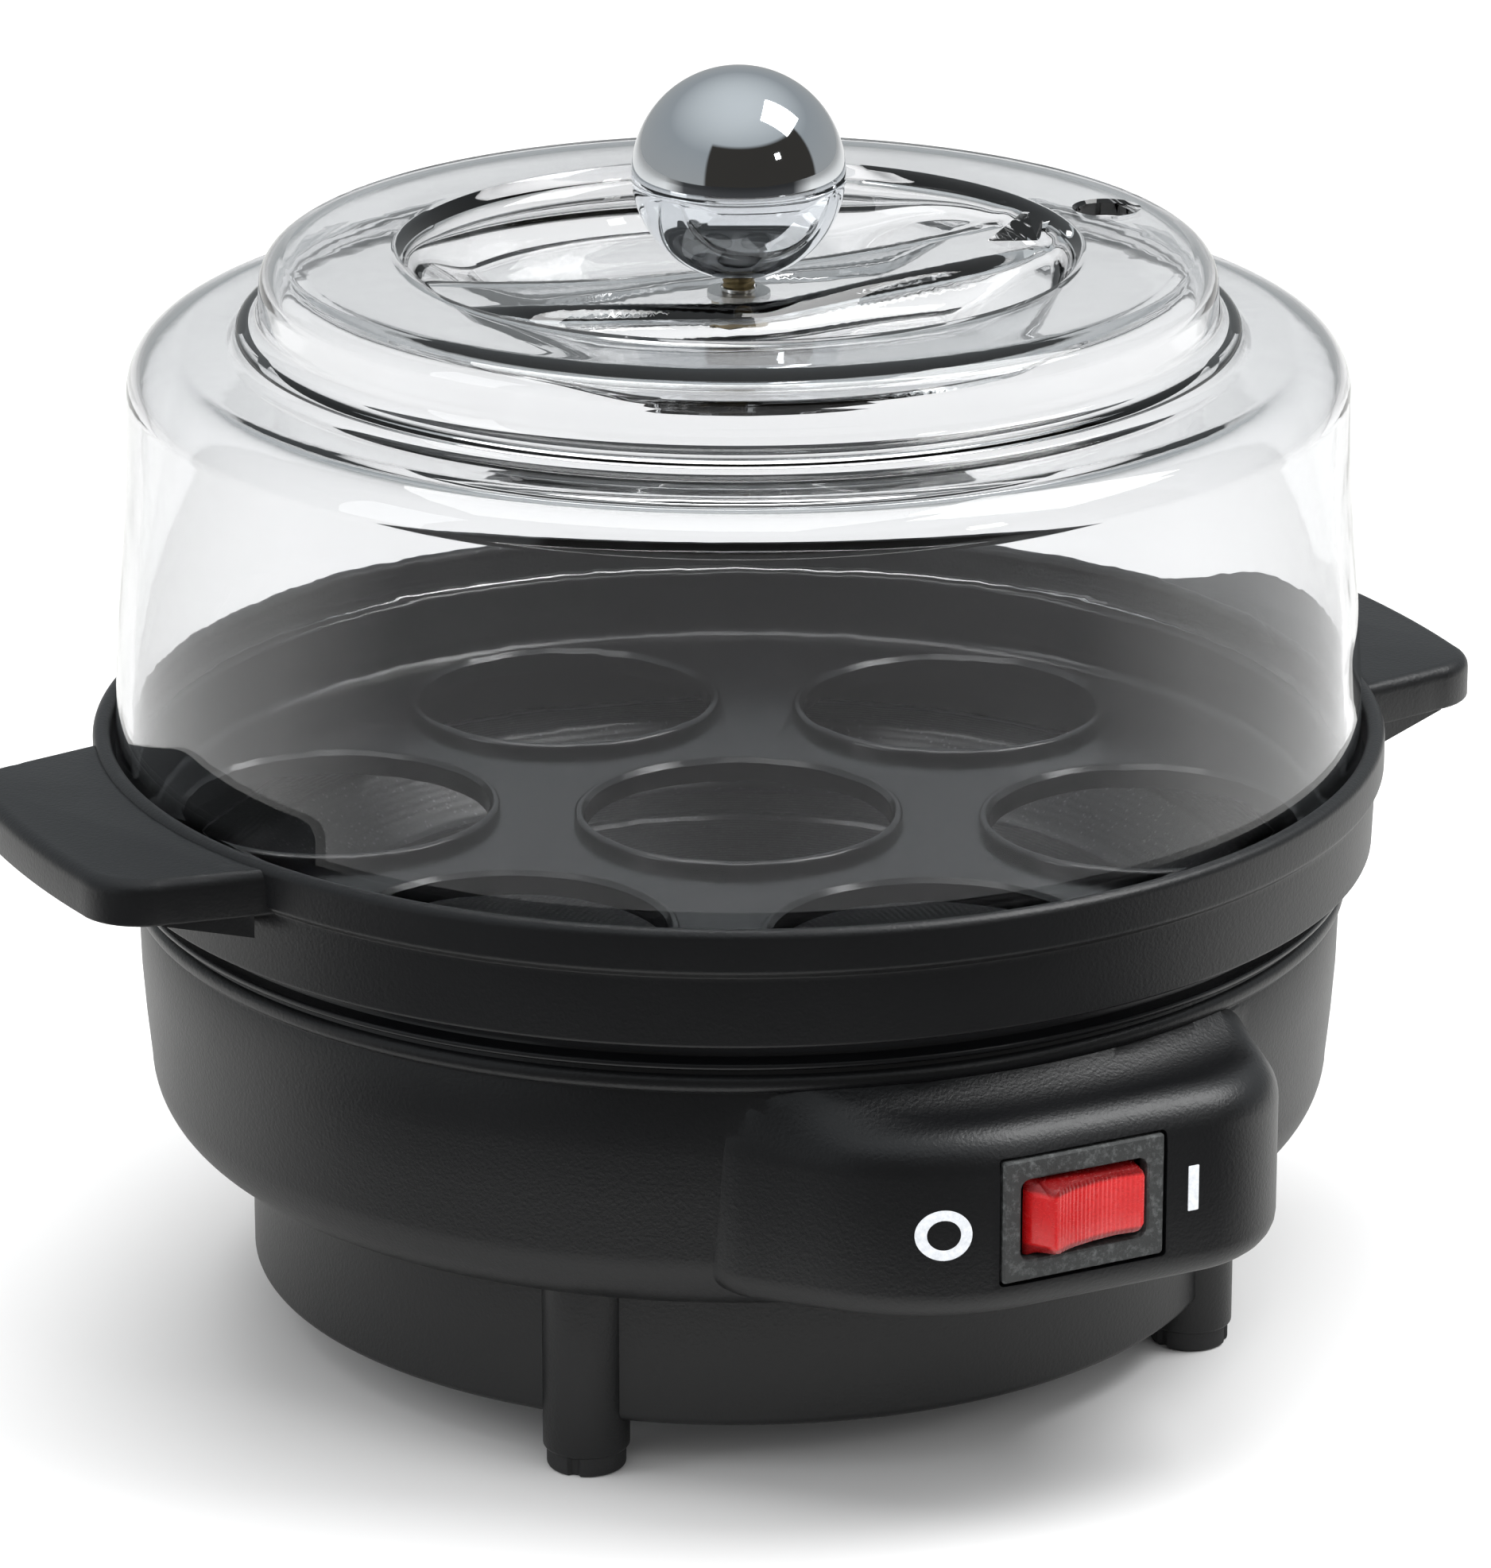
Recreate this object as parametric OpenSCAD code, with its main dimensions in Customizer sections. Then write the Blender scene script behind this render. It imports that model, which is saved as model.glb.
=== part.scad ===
// Egg cooker: base with heating plate and rocker switch, lift-out egg tray, lift-off clear lid.
// Millimetres. Z = 0 is the surface that it stands on, Z is the axis of the body, -Y is the switch side.

/* [Base] */
// Outer radius of the base at its top edge
base_r = 74.2; // [66:0.1:90]
// Wall thickness of the base mouldings
wall = 2.2; // [1.8:0.1:2.8]
// Height of the base's top edge
base_top = 57.5; // [54:0.1:70]
// Height of the bowl's underside, where the bottom cover starts
bowl_z = 24.8; // [22:0.1:28]
// Draft of the bowl's wall, from top to bottom
bowl_draft = 1.3; // [0.8:0.1:1.6]
// Radius of the bowl's bottom corner
bowl_corner = 9.2; // [7:0.1:10]
// How far the bottom cover is set in from the bowl's top edge
cover_inset = 13.4; // [12:0.1:16]
// Height of the bottom cover's lower edge
cover_z = 6.6; // [4:0.1:9]

/* [Feet] */
// Radius of each foot post
foot_r = 5.2; // [4:0.1:6]
// How far each post's centre lies inside the cover's outer face
foot_in = 2.1; // [1:0.1:3]
// Height of the rubber tip
tip_h = 2.5; // [2:0.1:4]
// How much narrower the tip is than the post
tip_step = 0.45; // [0.2:0.05:1]

/* [Switch] */
// Distance of the switch face from the base's top edge
bulge_out = 10.8; // [8:0.1:14]
// Width of the switch bulge
bulge_w = 68; // [56:0.5:76]
// Height of the bulge's lower face
bulge_z = 29; // [27:0.1:31]
// Height of the bulge
bulge_h = 23; // [21:0.1:24]
// Radius of the bulge's front corners
bulge_corner = 8; // [5:0.5:9]
// Sideways place of the switch
switch_x = 1.5; // [-4:0.1:4]
// Width of the switch's flange
flange_w = 21.2; // [21:0.1:23]
// Height of the switch's flange
flange_h = 15; // [14.8:0.1:16]
// Angle that the rocker turns through
rocker_swing = 18.4; // [14:0.1:19]

/* [Tray] */
// How much wider the tray's band is than the base
band_out = 3.7; // [3:0.1:6]
// Height of the gap between the base and the band
band_gap = 3.8; // [3:0.1:6]
// Height of the tray's rim above the base's top edge
rim_up = 18.5; // [16:0.1:24]
// Depth of the seat that holds the lid
seat_deep = 5; // [4:0.1:8]
// Diameter of an egg hole
egg_hole = 38; // [34:0.5:39]
// Radius of the ring of egg holes
egg_ring = 50; // [46:0.5:51]
// Reach of each handle from the axis
handle_reach = 95; // [88:0.5:110]
// Width of each handle at the rim
handle_w = 52.6; // [40:0.5:60]
// Thickness of each handle
handle_t = 5.5; // [4:0.1:8]

/* [Lid] */
// Wall thickness of the clear lid
lid_wall = 2; // [1.6:0.1:2.4]
// Height of the lid from its edge to the plateau
lid_h = 64; // [56:0.5:80]
// Draft of the lid's wall
lid_draft = 2.5; // [1.5:0.1:4]
// Width of the flat shoulder round the plateau, from the wall
shoulder_w = 13.6; // [10:0.1:16]
// Height of the plateau above the shoulder
plateau_h = 10.7; // [9:0.1:14]
// Radius of the round recess in the plateau
recess_r = 41; // [36:0.5:44]
// Depth of the recess
recess_deep = 7.5; // [6.5:0.1:8]
// Width of the bar across the recess
bar_w = 12.4; // [11:0.2:16]
// How far the middle of the bar's top lies below the plateau
bar_down = 5; // [4:0.1:5.2]
// How much higher the bar's ends are than its middle
bar_sag = 3.4; // [2:0.1:3.6]
// Diameter of the steam vent
vent_d = 7.6; // [6:0.1:9]
// Radius at which the vent lies
vent_at = 48.7; // [47:0.1:50]
// Diameter of the ball knob
ball_d = 25; // [20:0.5:32]

/* [Heating] */
// Radius of the ring heater
element_ring = 38; // [34:0.5:39]
// Diameter of the ring heater's tube
element_d = 6.6; // [6:0.1:7.2]
// Radius at which the studs and cover bosses stand
fix_in = 23.7; // [23:0.1:25]

/* [Hidden] */
$fn = 96;

black = [0.05, 0.05, 0.055];
steel = "silver";
brass = "goldenrod";
eps = 0.01;
fit = 0.05;        // radial clearance of a shank in its hole
loose = 0.4;       // radial clearance of what lifts off
rest_gap = 0.3;    // clearance beside what lifts off

// Bowl
bowl_low_r = base_r - bowl_draft;                // radius at the top of the bottom corner
corner_r0 = bowl_low_r - bowl_corner;            // radius of the corner's centre
corner_z = bowl_z + bowl_corner;
lip_in = base_r - wall;                          // inside of the top lip
ledge_z = base_top - 5.5;                        // face that carries the plate's seal
ledge_t = 2;
ledge_in = base_r - 8.7;
floor_in = 45;                                   // inner edge of the bowl's floor ring
fix_r = base_r - fix_in;                         // studs and cover bosses
stud_angles = [90, 210, 330];
boss_angles = [30, 150, 270];

// Bottom cover
cover_r = base_r - cover_inset;
locate_r = cover_r - wall - 0.2;                 // locating ring under the bowl
locate_h = 3;
pad_top = cover_z + wall + 3.2;                  // where the housing's bosses meet the cover
screw_r = 1.4;
head_r = 3.1;
head_h = 2.1;
foot_at = cover_r - foot_in;
foot_angles = [45, 135, 225, 315];
stem_r = 2.5;
stem_h = 6;
gland_z = (cover_z + bowl_z) / 2;
gland_r = 3.3;
gland_neck = 4.2;
gland_face = cover_r + 1.2;

// Switch
face_y = -(base_r + bulge_out);
bulge_back = -(base_r - 8.2);
switch_z = bulge_z + bulge_h / 2;
flange_t = 1.4;
body_w = flange_w - 2;
body_h = flange_h - 1.9;
body_y1 = face_y + 21;                           // back face of the switch
shell_t = 1.5;
slot_w = flange_w - 4.7;                         // window for the rocker
slot_h = flange_h - 5.2;
cavity_w = flange_w - 3.8;
pivot = [switch_x, face_y + 5.5];
pin_r = 1.2;
rock = rocker_swing / 2;
face_half = 6.7;                                 // rocker outline about its pivot, seen along the pin
face_out = 7.3;
heel_half = 7.9;
heel_out = 4.3;
plunger_end = 10.5;
lever_y = pivot[1] + plunger_end + 0.5;          // mid plane of the contact lever
lever_t = 0.8;
lever_tilt = 8;
blade_w = 6.3;
blade_t = 0.8;
blade_step = 6.3;

// Tray
band_r = base_r + band_out;
band_z = base_top + band_gap;
rim_z = base_top + rim_up;
seat_z = rim_z - seat_deep;
rim_r = band_r + 1.3;
rim_in = rim_r - 2.25;
tray_in = band_r - 3.9;
tray_floor = band_z + 0.7;                       // top of the floor
floor_t = 1.6;
neck_r = base_r + 1;
spigot_r = lip_in - loose;
spigot_t = 1.8;
spigot_z = ledge_z + 2.6;
handle_top = rim_z - 0.5;
handle_tip_w = handle_w - 4.6;
handle_corner = 8;
collar_t = 1.4;
collar_h = 1.4;

// Lid
lid_r = rim_in - rest_gap - 0.05;
lid_top_r = lid_r - lid_draft;
plateau_z = seat_z + lid_h;
shoulder_z = plateau_z - plateau_h;
shoulder_corner = 6;
shoulder_in = lid_top_r - shoulder_w;
plateau_r = shoulder_in - 2.6;
plateau_corner = 4;
recess_z = plateau_z - recess_deep;
bar_top = plateau_z - bar_down;                  // middle of the bar's top
saddle_r = (pow(recess_r, 2) + pow(bar_sag, 2)) / (2 * bar_sag);
lid_turn = -5;                                   // the bar and the vent lie this far round from +X
stem_gap = 1.6;                                  // screw that shows between bar and ball
ball_z = bar_top + stem_gap + ball_d / 2;
knob_screw_r = 2;
washer_t = 0.8;
pointer_at = recess_r - 3.2;                     // four-sided pointer beside the vent
pointer_r = 5;
pointer_tip = 0.8;
pointer_h = 3;
pointer_up = 0.4;                                // how far it stands above the plateau

// Heating stack
plate_t = 1.2;
flange_z = ledge_z + 0.8;                        // underside of the plate's flange
plate_top = flange_z + plate_t;
plate_flange_r = lip_in - 1.4;
dish_r = base_r - 11.7;
dish_floor_r = base_r - 18.2;
dish_floor = plate_top - 7.5;
plate_under = dish_floor - 1.5;
spreader_t = 1.5;
spreader_z = plate_under - spreader_t;
element_z = spreader_z - element_d / 2;
element_gap = 14;                                // half angle between the heater's two ends
stud_r = 2;
stud_end = bowl_z - 4.6;
floor_top = bowl_z + wall;
shield_t = 0.8;
strap_t = 1;
strap_z = spreader_z - 3.8;
strap_half = 27;
strap_w = 19;
strap_screw_x = 24;
fuse_y = 24;
fuse_r = 1.9;
sleeve_r = 2.6;
fuse_z = spreader_z - sleeve_r;

// Points on an arc about [x, y]
function arc(x, y, r, a0, a1, n = 8) = [for (i = [0 : n]) let (a = a0 + (a1 - a0) * i / n) [x + r * cos(a), y + r * sin(a)]];
function egg_places() = concat([[0, 0]], [for (a = [30 : 60 : 330]) egg_ring * [cos(a), sin(a)]]);

module ring(r_in, r_out, z0, h) {
    translate([0, 0, z0])
        difference() {
            cylinder(r = r_out, h = h);
            translate([0, 0, -1]) cylinder(r = r_in, h = h + 2);
        }
}

module around(angles, r) {
    for (a = angles) rotate([0, 0, a]) translate([r, 0, 0]) children();
}

// A block given by its centre in x and z, its near and far faces in y
module block_y(x, z, w, h, y0, y1) {
    translate([x - w / 2, y0, z - h / 2]) cube([w, y1 - y0, h]);
}

// ---- Base ----

module bowl_outline() {
    polygon(concat(
        [[floor_in, bowl_z]],
        arc(corner_r0, corner_z, bowl_corner, -90, 0),
        [[base_r - bowl_draft * 0.45, corner_z + 7], [base_r - bowl_draft * 0.15, corner_z + 14],
         [base_r, base_top - 1], [base_r - 0.5, base_top], [lip_in, base_top], [lip_in, ledge_z],
         [ledge_in, ledge_z], [ledge_in, ledge_z - ledge_t]],
        bowl_inner_points(),
        [[floor_in, floor_top]]
    ));
}

function bowl_inner_points() = concat(
    [[base_r - wall - bowl_draft * 0.2, ledge_z - ledge_t]],
    arc(corner_r0, corner_z, bowl_corner - wall, 0, -90)
);

module bowl_inside() {
    rotate_extrude() polygon(concat([[0, ledge_z - ledge_t]], bowl_inner_points(), [[0, floor_top]]));
}

module bulge_plan(inset) {
    w = bulge_w / 2 - inset;
    y = face_y + inset;
    c = bulge_corner - inset;
    translate([-w, y + c]) square([2 * w, bulge_back - y - c]);
    translate([-w + c, y]) square([2 * (w - c), c + eps]);
    for (s = [-1, 1]) translate([s * (w - c), y + c]) circle(r = c);
}

module switch_opening() {
    block_y(switch_x, switch_z, flange_w + 0.7, flange_h + 0.5, face_y - 1, face_y + flange_t);
    block_y(switch_x, switch_z, body_w + 0.2, body_h + 0.2, face_y - 1, face_y + wall + 1);
}

// Ring that centres the bottom cover, open where the foot posts stand
module locating_ring() {
    difference() {
        ring(locate_r - wall, locate_r, bowl_z - locate_h, locate_h + eps);
        around(foot_angles, foot_at) translate([0, 0, bowl_z - locate_h - 1]) cylinder(r = foot_r + 0.3, h = locate_h + 1);
    }
}

module base_housing() {
    color(black) {
        difference() {
            union() {
                rotate_extrude() bowl_outline();
                difference() {
                    translate([0, 0, bulge_z]) linear_extrude(bulge_h) bulge_plan(0);
                    bowl_inside();
                }
                locating_ring();
                around(boss_angles, fix_r) translate([0, 0, pad_top]) cylinder(r = 3.6, h = bowl_z - pad_top + eps);
            }
            translate([0, 0, bulge_z + wall])
                linear_extrude(ledge_z - ledge_t - bulge_z - wall) bulge_plan(wall);
            switch_opening();
            around(stud_angles, fix_r) translate([0, 0, bowl_z - 1]) cylinder(r = stud_r + 0.3, h = wall + 2);
            around(boss_angles, fix_r) translate([0, 0, pad_top - 1]) cylinder(r = screw_r + fit, h = 11);
        }
    }
}

module bottom_cover() {
    color(black)
        difference() {
            union() {
                difference() {
                    translate([0, 0, cover_z]) cylinder(r = cover_r, h = bowl_z - cover_z);
                    translate([0, 0, cover_z + wall]) cylinder(r = cover_r - wall, h = bowl_z);
                }
                around(foot_angles, foot_at) translate([0, 0, tip_h]) cylinder(r = foot_r, h = bowl_z - tip_h);
                around(boss_angles, fix_r) translate([0, 0, cover_z]) cylinder(r = 5, h = pad_top - cover_z);
                translate([0, gland_face, gland_z]) rotate([90, 0, 0]) cylinder(r = 7, h = gland_face - cover_r + 4);
            }
            around(foot_angles, foot_at) translate([0, 0, tip_h - 1]) cylinder(r = stem_r + fit, h = stem_h + 1);
            around(boss_angles, fix_r) {
                translate([0, 0, cover_z - 1]) cylinder(r = head_r + 0.4, h = pad_top - cover_z - 1);
                translate([0, 0, cover_z]) cylinder(r = screw_r + 0.3, h = pad_top);
            }
            translate([0, gland_face + 1, gland_z]) rotate([90, 0, 0]) cylinder(r = gland_neck + fit, h = 12);
            for (i = [-3 : 3]) translate([i * 7 - 1.25, -14, cover_z - 1]) cube([2.5, 28, wall + 2]);
        }
}

module foot_tips() {
    color("dimgray")
        around(foot_angles, foot_at) {
            cylinder(r = foot_r - tip_step, h = tip_h);
            cylinder(r = stem_r, h = tip_h + stem_h - 0.5);
        }
}

module cover_screws() {
    color(steel)
        around(boss_angles, fix_r) {
            difference() {
                translate([0, 0, pad_top - 2 - head_h]) cylinder(r = head_r, h = head_h);
                for (a = [0, 90]) rotate([0, 0, a]) translate([-2, -0.4, pad_top - 2 - head_h - 1]) cube([4, 0.8, 2]);
            }
            translate([0, 0, pad_top - 2 - eps]) cylinder(r = screw_r, h = 10);
        }
}

module cord_gland() {
    inner = cover_r - wall - 1.8;
    color(black)
        difference() {
            union() {
                translate([0, gland_face + 2, gland_z]) rotate([90, 0, 0]) cylinder(r = 5.6, h = 2);
                translate([0, gland_face + eps, gland_z]) rotate([90, 0, 0]) cylinder(r = gland_neck, h = gland_face - inner + 2.2);
                translate([0, inner, gland_z]) rotate([90, 0, 0]) cylinder(r = 5.2, h = 2.2);
            }
            translate([0, gland_face + 3, gland_z]) rotate([90, 0, 0]) cylinder(r = gland_r, h = 20);
        }
}

// ---- Heating ----

module heating_plate() {
    color([0.2, 0.2, 0.21])
        rotate_extrude()
            polygon([
                [0, plate_under], [dish_floor_r + 0.7, plate_under], [dish_r + 0.9, flange_z],
                [plate_flange_r, flange_z], [plate_flange_r, plate_top], [dish_r, plate_top],
                [dish_floor_r, dish_floor], [0, dish_floor]
            ]);
}

module plate_seal() {
    seal_out = lip_in - 0.2;
    color("gray")
        rotate_extrude()
            polygon([
                [ledge_in + 0.5, ledge_z], [seal_out, ledge_z], [seal_out, plate_top],
                [plate_flange_r, plate_top], [plate_flange_r, flange_z], [ledge_in + 0.5, flange_z]
            ]);
}

module heat_spreader() {
    color("lightgray")
        difference() {
            ring(14, element_ring + 8, spreader_z, spreader_t);
            for (s = [-1, 1]) {
                translate([s * strap_screw_x, 0, spreader_z - 1]) cylinder(r = 1.5 + fit, h = 2.3);
                translate([s * 8, fuse_y - 6, spreader_z - 1]) cylinder(r = 1.5 + fit, h = 2.3);
            }
        }
}

module element_end(side) {
    rotate([0, 0, side * element_gap - 90]) translate([element_ring, 0, 0]) children();
}

module ring_element() {
    color("dimgray") {
        rotate([0, 0, element_gap - 90])
            rotate_extrude(angle = 360 - 2 * element_gap)
                translate([element_ring, element_z]) circle(d = element_d);
        for (s = [-1, 1])
            element_end(s) {
                translate([0, 0, element_z]) sphere(d = element_d);
                translate([0, 0, element_z - 9]) cylinder(d = element_d, h = 9);
            }
    }
}

module element_pins() {
    color(steel)
        for (s = [-1, 1])
            element_end(s) translate([0, 0, element_z - 16]) cylinder(r = 1.4, h = 7);
}

module plate_studs() {
    color(steel) around(stud_angles, fix_r) translate([0, 0, stud_end]) cylinder(r = stud_r, h = plate_under - stud_end);
}

module stud_washers() {
    color(steel) around(stud_angles, fix_r) ring(stud_r + fit, 4, bowl_z - 0.8, 0.8);
}

module stud_nuts() {
    color(steel)
        around(stud_angles, fix_r)
            translate([0, 0, bowl_z - 0.8 - 2.8])
                difference() {
                    cylinder(r = 3.9, h = 2.8, $fn = 6);
                    translate([0, 0, -1]) cylinder(r = stud_r + fit, h = 5);
                }
}

module heat_shield() {
    color("gainsboro")
        difference() {
            ring(16, fix_r + 5, floor_top, shield_t);
            around(stud_angles, fix_r) translate([0, 0, floor_top - 1]) cylinder(r = stud_r + 0.3, h = 3);
            translate([-16, -60, floor_top - 1]) cube([32, 34, 3]);
        }
}

module thermostat() {
    color("tan") {
        translate([0, 0, spreader_z - 2 - eps]) cylinder(r = 8.2, h = spreader_t + 2 + eps);
        translate([0, 0, spreader_z - 2.8]) cylinder(r = 9.4, h = 0.8);
        translate([0, 0, spreader_z - 11.5]) cylinder(r = 7.4, h = 8.8);
    }
}

module thermostat_blades() {
    color(brass)
        for (s = [-1, 1])
            translate([s * 3.5 - 0.4, -2.4, spreader_z - 18]) cube([0.8, 4.8, 6.5]);
}

module thermostat_strap() {
    color(steel)
        difference() {
            rotate([90, 0, 0]) translate([0, 0, -strap_w / 2])
                linear_extrude(strap_w)
                    polygon(concat(
                        [[-strap_half, spreader_z], [-20 - strap_t, spreader_z], [-20, spreader_z]],
                        [[-20, strap_z + strap_t], [20, strap_z + strap_t], [20, spreader_z], [strap_half, spreader_z]],
                        [[strap_half, spreader_z - strap_t], [20 + strap_t, spreader_z - strap_t]],
                        [[20 + strap_t, strap_z], [-20 - strap_t, strap_z], [-20 - strap_t, spreader_z - strap_t]],
                        [[-strap_half, spreader_z - strap_t]]
                    ));
            translate([0, 0, strap_z - 1]) cylinder(r = 7.6, h = 4);
            for (s = [-1, 1]) translate([s * strap_screw_x, 0, spreader_z - 3]) cylinder(r = 1.5 + 0.2, h = 4);
        }
}

module small_screw(under) {
    translate([0, 0, spreader_z - under - 1.6]) cylinder(r = 2.6, h = 1.6);
    translate([0, 0, spreader_z - under - eps]) cylinder(r = 1.5, h = under + 1.1);
}

module strap_screws() {
    color(steel)
        for (s = [-1, 1]) {
            translate([s * strap_screw_x, 0, 0]) small_screw(strap_t);
            translate([s * 8, fuse_y - 6, 0]) small_screw(0.7);
        }
}

module thermal_fuse() {
    color("whitesmoke") translate([-5, fuse_y, fuse_z]) rotate([0, 90, 0]) cylinder(r = fuse_r, h = 10);
}

module fuse_sleeve() {
    color("ivory")
        translate([-13, fuse_y, fuse_z]) rotate([0, 90, 0])
            difference() {
                cylinder(r = sleeve_r, h = 26);
                translate([0, 0, -1]) cylinder(r = fuse_r + fit, h = 28);
            }
}

module fuse_clip() {
    t = 0.7;
    color(steel)
        difference() {
            union() {
                translate([-11, fuse_y, fuse_z]) rotate([0, 90, 0]) cylinder(r = sleeve_r + fit + t, h = 22);
                translate([-11, fuse_y - 9, spreader_z - t]) cube([22, 9, t]);
            }
            translate([-12, fuse_y, fuse_z]) rotate([0, 90, 0]) cylinder(r = sleeve_r + fit, h = 24);
            translate([-12, fuse_y - sleeve_r, fuse_z]) cube([24, 2 * sleeve_r, 5]);
            translate([-12, fuse_y - 12, spreader_z]) cube([24, 20, 5]);
            for (s = [-1, 1]) translate([s * 8, fuse_y - 6, spreader_z - 3]) cylinder(r = 1.7, h = 5);
        }
}

// ---- Switch ----

module switch_frame() {
    color([0.1, 0.095, 0.09])
        difference() {
            union() {
                block_y(switch_x, switch_z, flange_w, flange_h, face_y, face_y + flange_t);
                block_y(switch_x, switch_z, body_w, body_h, face_y + flange_t - eps, body_y1);
            }
            block_y(switch_x, switch_z, slot_w, slot_h, face_y - 1, face_y + 2);
            block_y(switch_x, switch_z, cavity_w, slot_h, face_y + 1, body_y1 - shell_t);
            translate([pivot[0], pivot[1], switch_z - flange_h]) cylinder(r = pin_r, h = 2 * flange_h);
            for (i = [-1 : 1])
                block_y(switch_x + i * blade_step, switch_z, blade_t + 2 * fit, blade_w + 2 * fit, body_y1 - 5, body_y1 + 1);
        }
}

module switch_blades() {
    color(brass)
        for (i = [-1 : 1]) {
            reach = i == 0 ? lever_y + 1.2 : lever_y + 3;
            block_y(switch_x + i * blade_step, switch_z, blade_t, blade_w, reach, body_y1 + 8);
        }
}

module rocker_plan() {
    polygon([
        [-face_half, -face_out], [0, -face_out + face_half * tan(rock)], [face_half, -face_out],
        [heel_half, -heel_out], [heel_half - 1.4, 1.5], [2.6, 3.4], [-2.6, 3.4], [1.4 - heel_half, 1.5],
        [-heel_half, -heel_out]
    ]);
}

// What turns with the rocker: drawn about the pin, then turned to the pressed side
module on_rocker() {
    translate([pivot[0], pivot[1], switch_z]) rotate([0, 0, rock]) children();
}

module rocker_button() {
    h = slot_h - 0.4;
    color("red")
        on_rocker()
            difference() {
                union() {
                    translate([0, 0, -h / 2]) linear_extrude(h) rocker_plan();
                    translate([0, 0, -(body_h / 2 - 0.2)]) cylinder(r = pin_r - fit, h = body_h - 0.4);
                }
                translate([0, 6, 0]) rotate([90, 0, 0]) cylinder(r = 1.6, h = 8.5);
                for (s = [-1, 1]) translate([s * 4.3 - 1.7, -4.6, -2.8]) cube([3.4, 8, 5.6]);
            }
}

module rocker_lamp() {
    color("orange") on_rocker() translate([4.3, -2.9, -2.5]) cylinder(r = 1.5, h = 5);
}

module rocker_plunger() {
    color("white")
        on_rocker() {
            translate([0, plunger_end - 1.3, 0]) sphere(r = 1.3);
            translate([0, plunger_end - 1.3, 0]) rotate([90, 0, 0]) cylinder(r = 1.3, h = 6.2);
        }
}

module plunger_spring() {
    coil = 0.3;
    turns = 4;
    steps = 12;
    y0 = -2.2;
    y1 = plunger_end - 8;
    route = [for (i = [0 : turns * steps]) let (a = i * 360 / steps, t = i / (turns * steps))
        [1.1 * cos(a), y0 + (y1 - y0) * t, 1.1 * sin(a)]];
    color(steel) on_rocker() tube(route, coil, 6, [0, 1, 0]);
}

module contact_lever() {
    color("peru")
        translate([pivot[0], lever_y, switch_z]) rotate([0, 0, -lever_tilt])
            difference() {
                translate([-7, -lever_t / 2, -3]) cube([14, lever_t, 6]);
                for (s = [-1, 1]) translate([0, 0, s * 3.2]) cylinder(r = 1, h = 2, center = true);
            }
}

module power_marks() {
    proud = 0.15;
    color("white") {
        translate([switch_x - 18.4, face_y, switch_z + 0.1]) rotate([90, 0, 0])
            difference() {
                cylinder(r = 3.5, h = proud);
                translate([0, 0, -1]) cylinder(r = 2.1, h = 2);
            }
        block_y(switch_x + 14.5, switch_z, 1.4, 5.6, face_y - proud, face_y);
    }
}

// ---- Leads ----

function unit(v) = v / norm(v);

// Rings of a round tube along a route; ref is never parallel to the route
function tube_ring(p, t, r, n, ref) =
    let (u = unit(cross(t, ref)), v = cross(t, u)) [for (k = [0 : n - 1]) let (a = -k * 360 / n) p + r * (cos(a) * u + sin(a) * v)];

module tube(route, r, n, ref) {
    last = len(route) - 1;
    rings = [for (i = [0 : last])
        tube_ring(route[i], unit(route[min(i + 1, last)] - route[max(i - 1, 0)]), r, n, ref)];
    polyhedron(
        points = [for (g = rings) each g],
        faces = concat(
            [[for (k = [0 : n - 1]) k]],
            [for (i = [0 : last - 1], k = [0 : n - 1]) let (a = i * n, b = (k + 1) % n) [a + k, a + n + k, a + n + b, a + b]],
            [[for (k = [n - 1 : -1 : 0]) last * n + k]]
        )
    );
}

// Smooth curve through a list of points
function bend(p, i, t) =
    let (a = p[max(i - 1, 0)], b = p[i], c = p[i + 1], d = p[min(i + 2, len(p) - 1)])
    0.5 * (2 * b + (c - a) * t + (2 * a - 5 * b + 4 * c - d) * t * t + (3 * b - a - 3 * c + d) * t * t * t);
function smooth(p, n = 3) = concat([for (i = [0 : len(p) - 2], k = [0 : n - 1]) bend(p, i, k / n)], [p[len(p) - 1]]);

lead_r = 1;
pin_low = element_z - 16;
pin_x = element_ring * sin(element_gap);
pin_y = -element_ring * cos(element_gap);
blade_low = spreader_z - 18;

module lead_live() {
    y = body_y1 + 8;
    color("brown")
        tube(smooth([
            [switch_x, y, switch_z], [switch_x, y + 4, switch_z], [switch_x + 1, y + 8, switch_z - 4],
            [switch_x + 3, y + 11, switch_z - 10], [switch_x + 5, y + 15, switch_z - 17],
            [pin_x, pin_y, pin_low - 5], [pin_x, pin_y, pin_low]
        ]), lead_r, 8, [1, 0.2, 0]);
}

module lead_element() {
    color("white")
        tube(smooth([
            [-pin_x, pin_y, pin_low], [-pin_x, pin_y, pin_low - 4], [-pin_x + 2, pin_y + 8, pin_low - 8],
            [-4, -10, blade_low - 8], [-3.5, 0, blade_low - 5], [-3.5, 0, blade_low]
        ]), lead_r, 8, [1, 0.2, 0]);
}

module lead_fuse() {
    color("white")
        tube(smooth([
            [3.5, 0, blade_low], [3.5, 0, blade_low - 2], [6, 2, blade_low - 4], [10, 5, blade_low - 1],
            [12, 8, blade_low + 5], [15, 14, blade_low + 10], [17, 21, fuse_z - 1], [13, fuse_y, fuse_z],
            [9, fuse_y, fuse_z], [5, fuse_y, fuse_z]
        ]), lead_r, 8, [0.3, -0.4, 1]);
}

// ---- Tray ----

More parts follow.
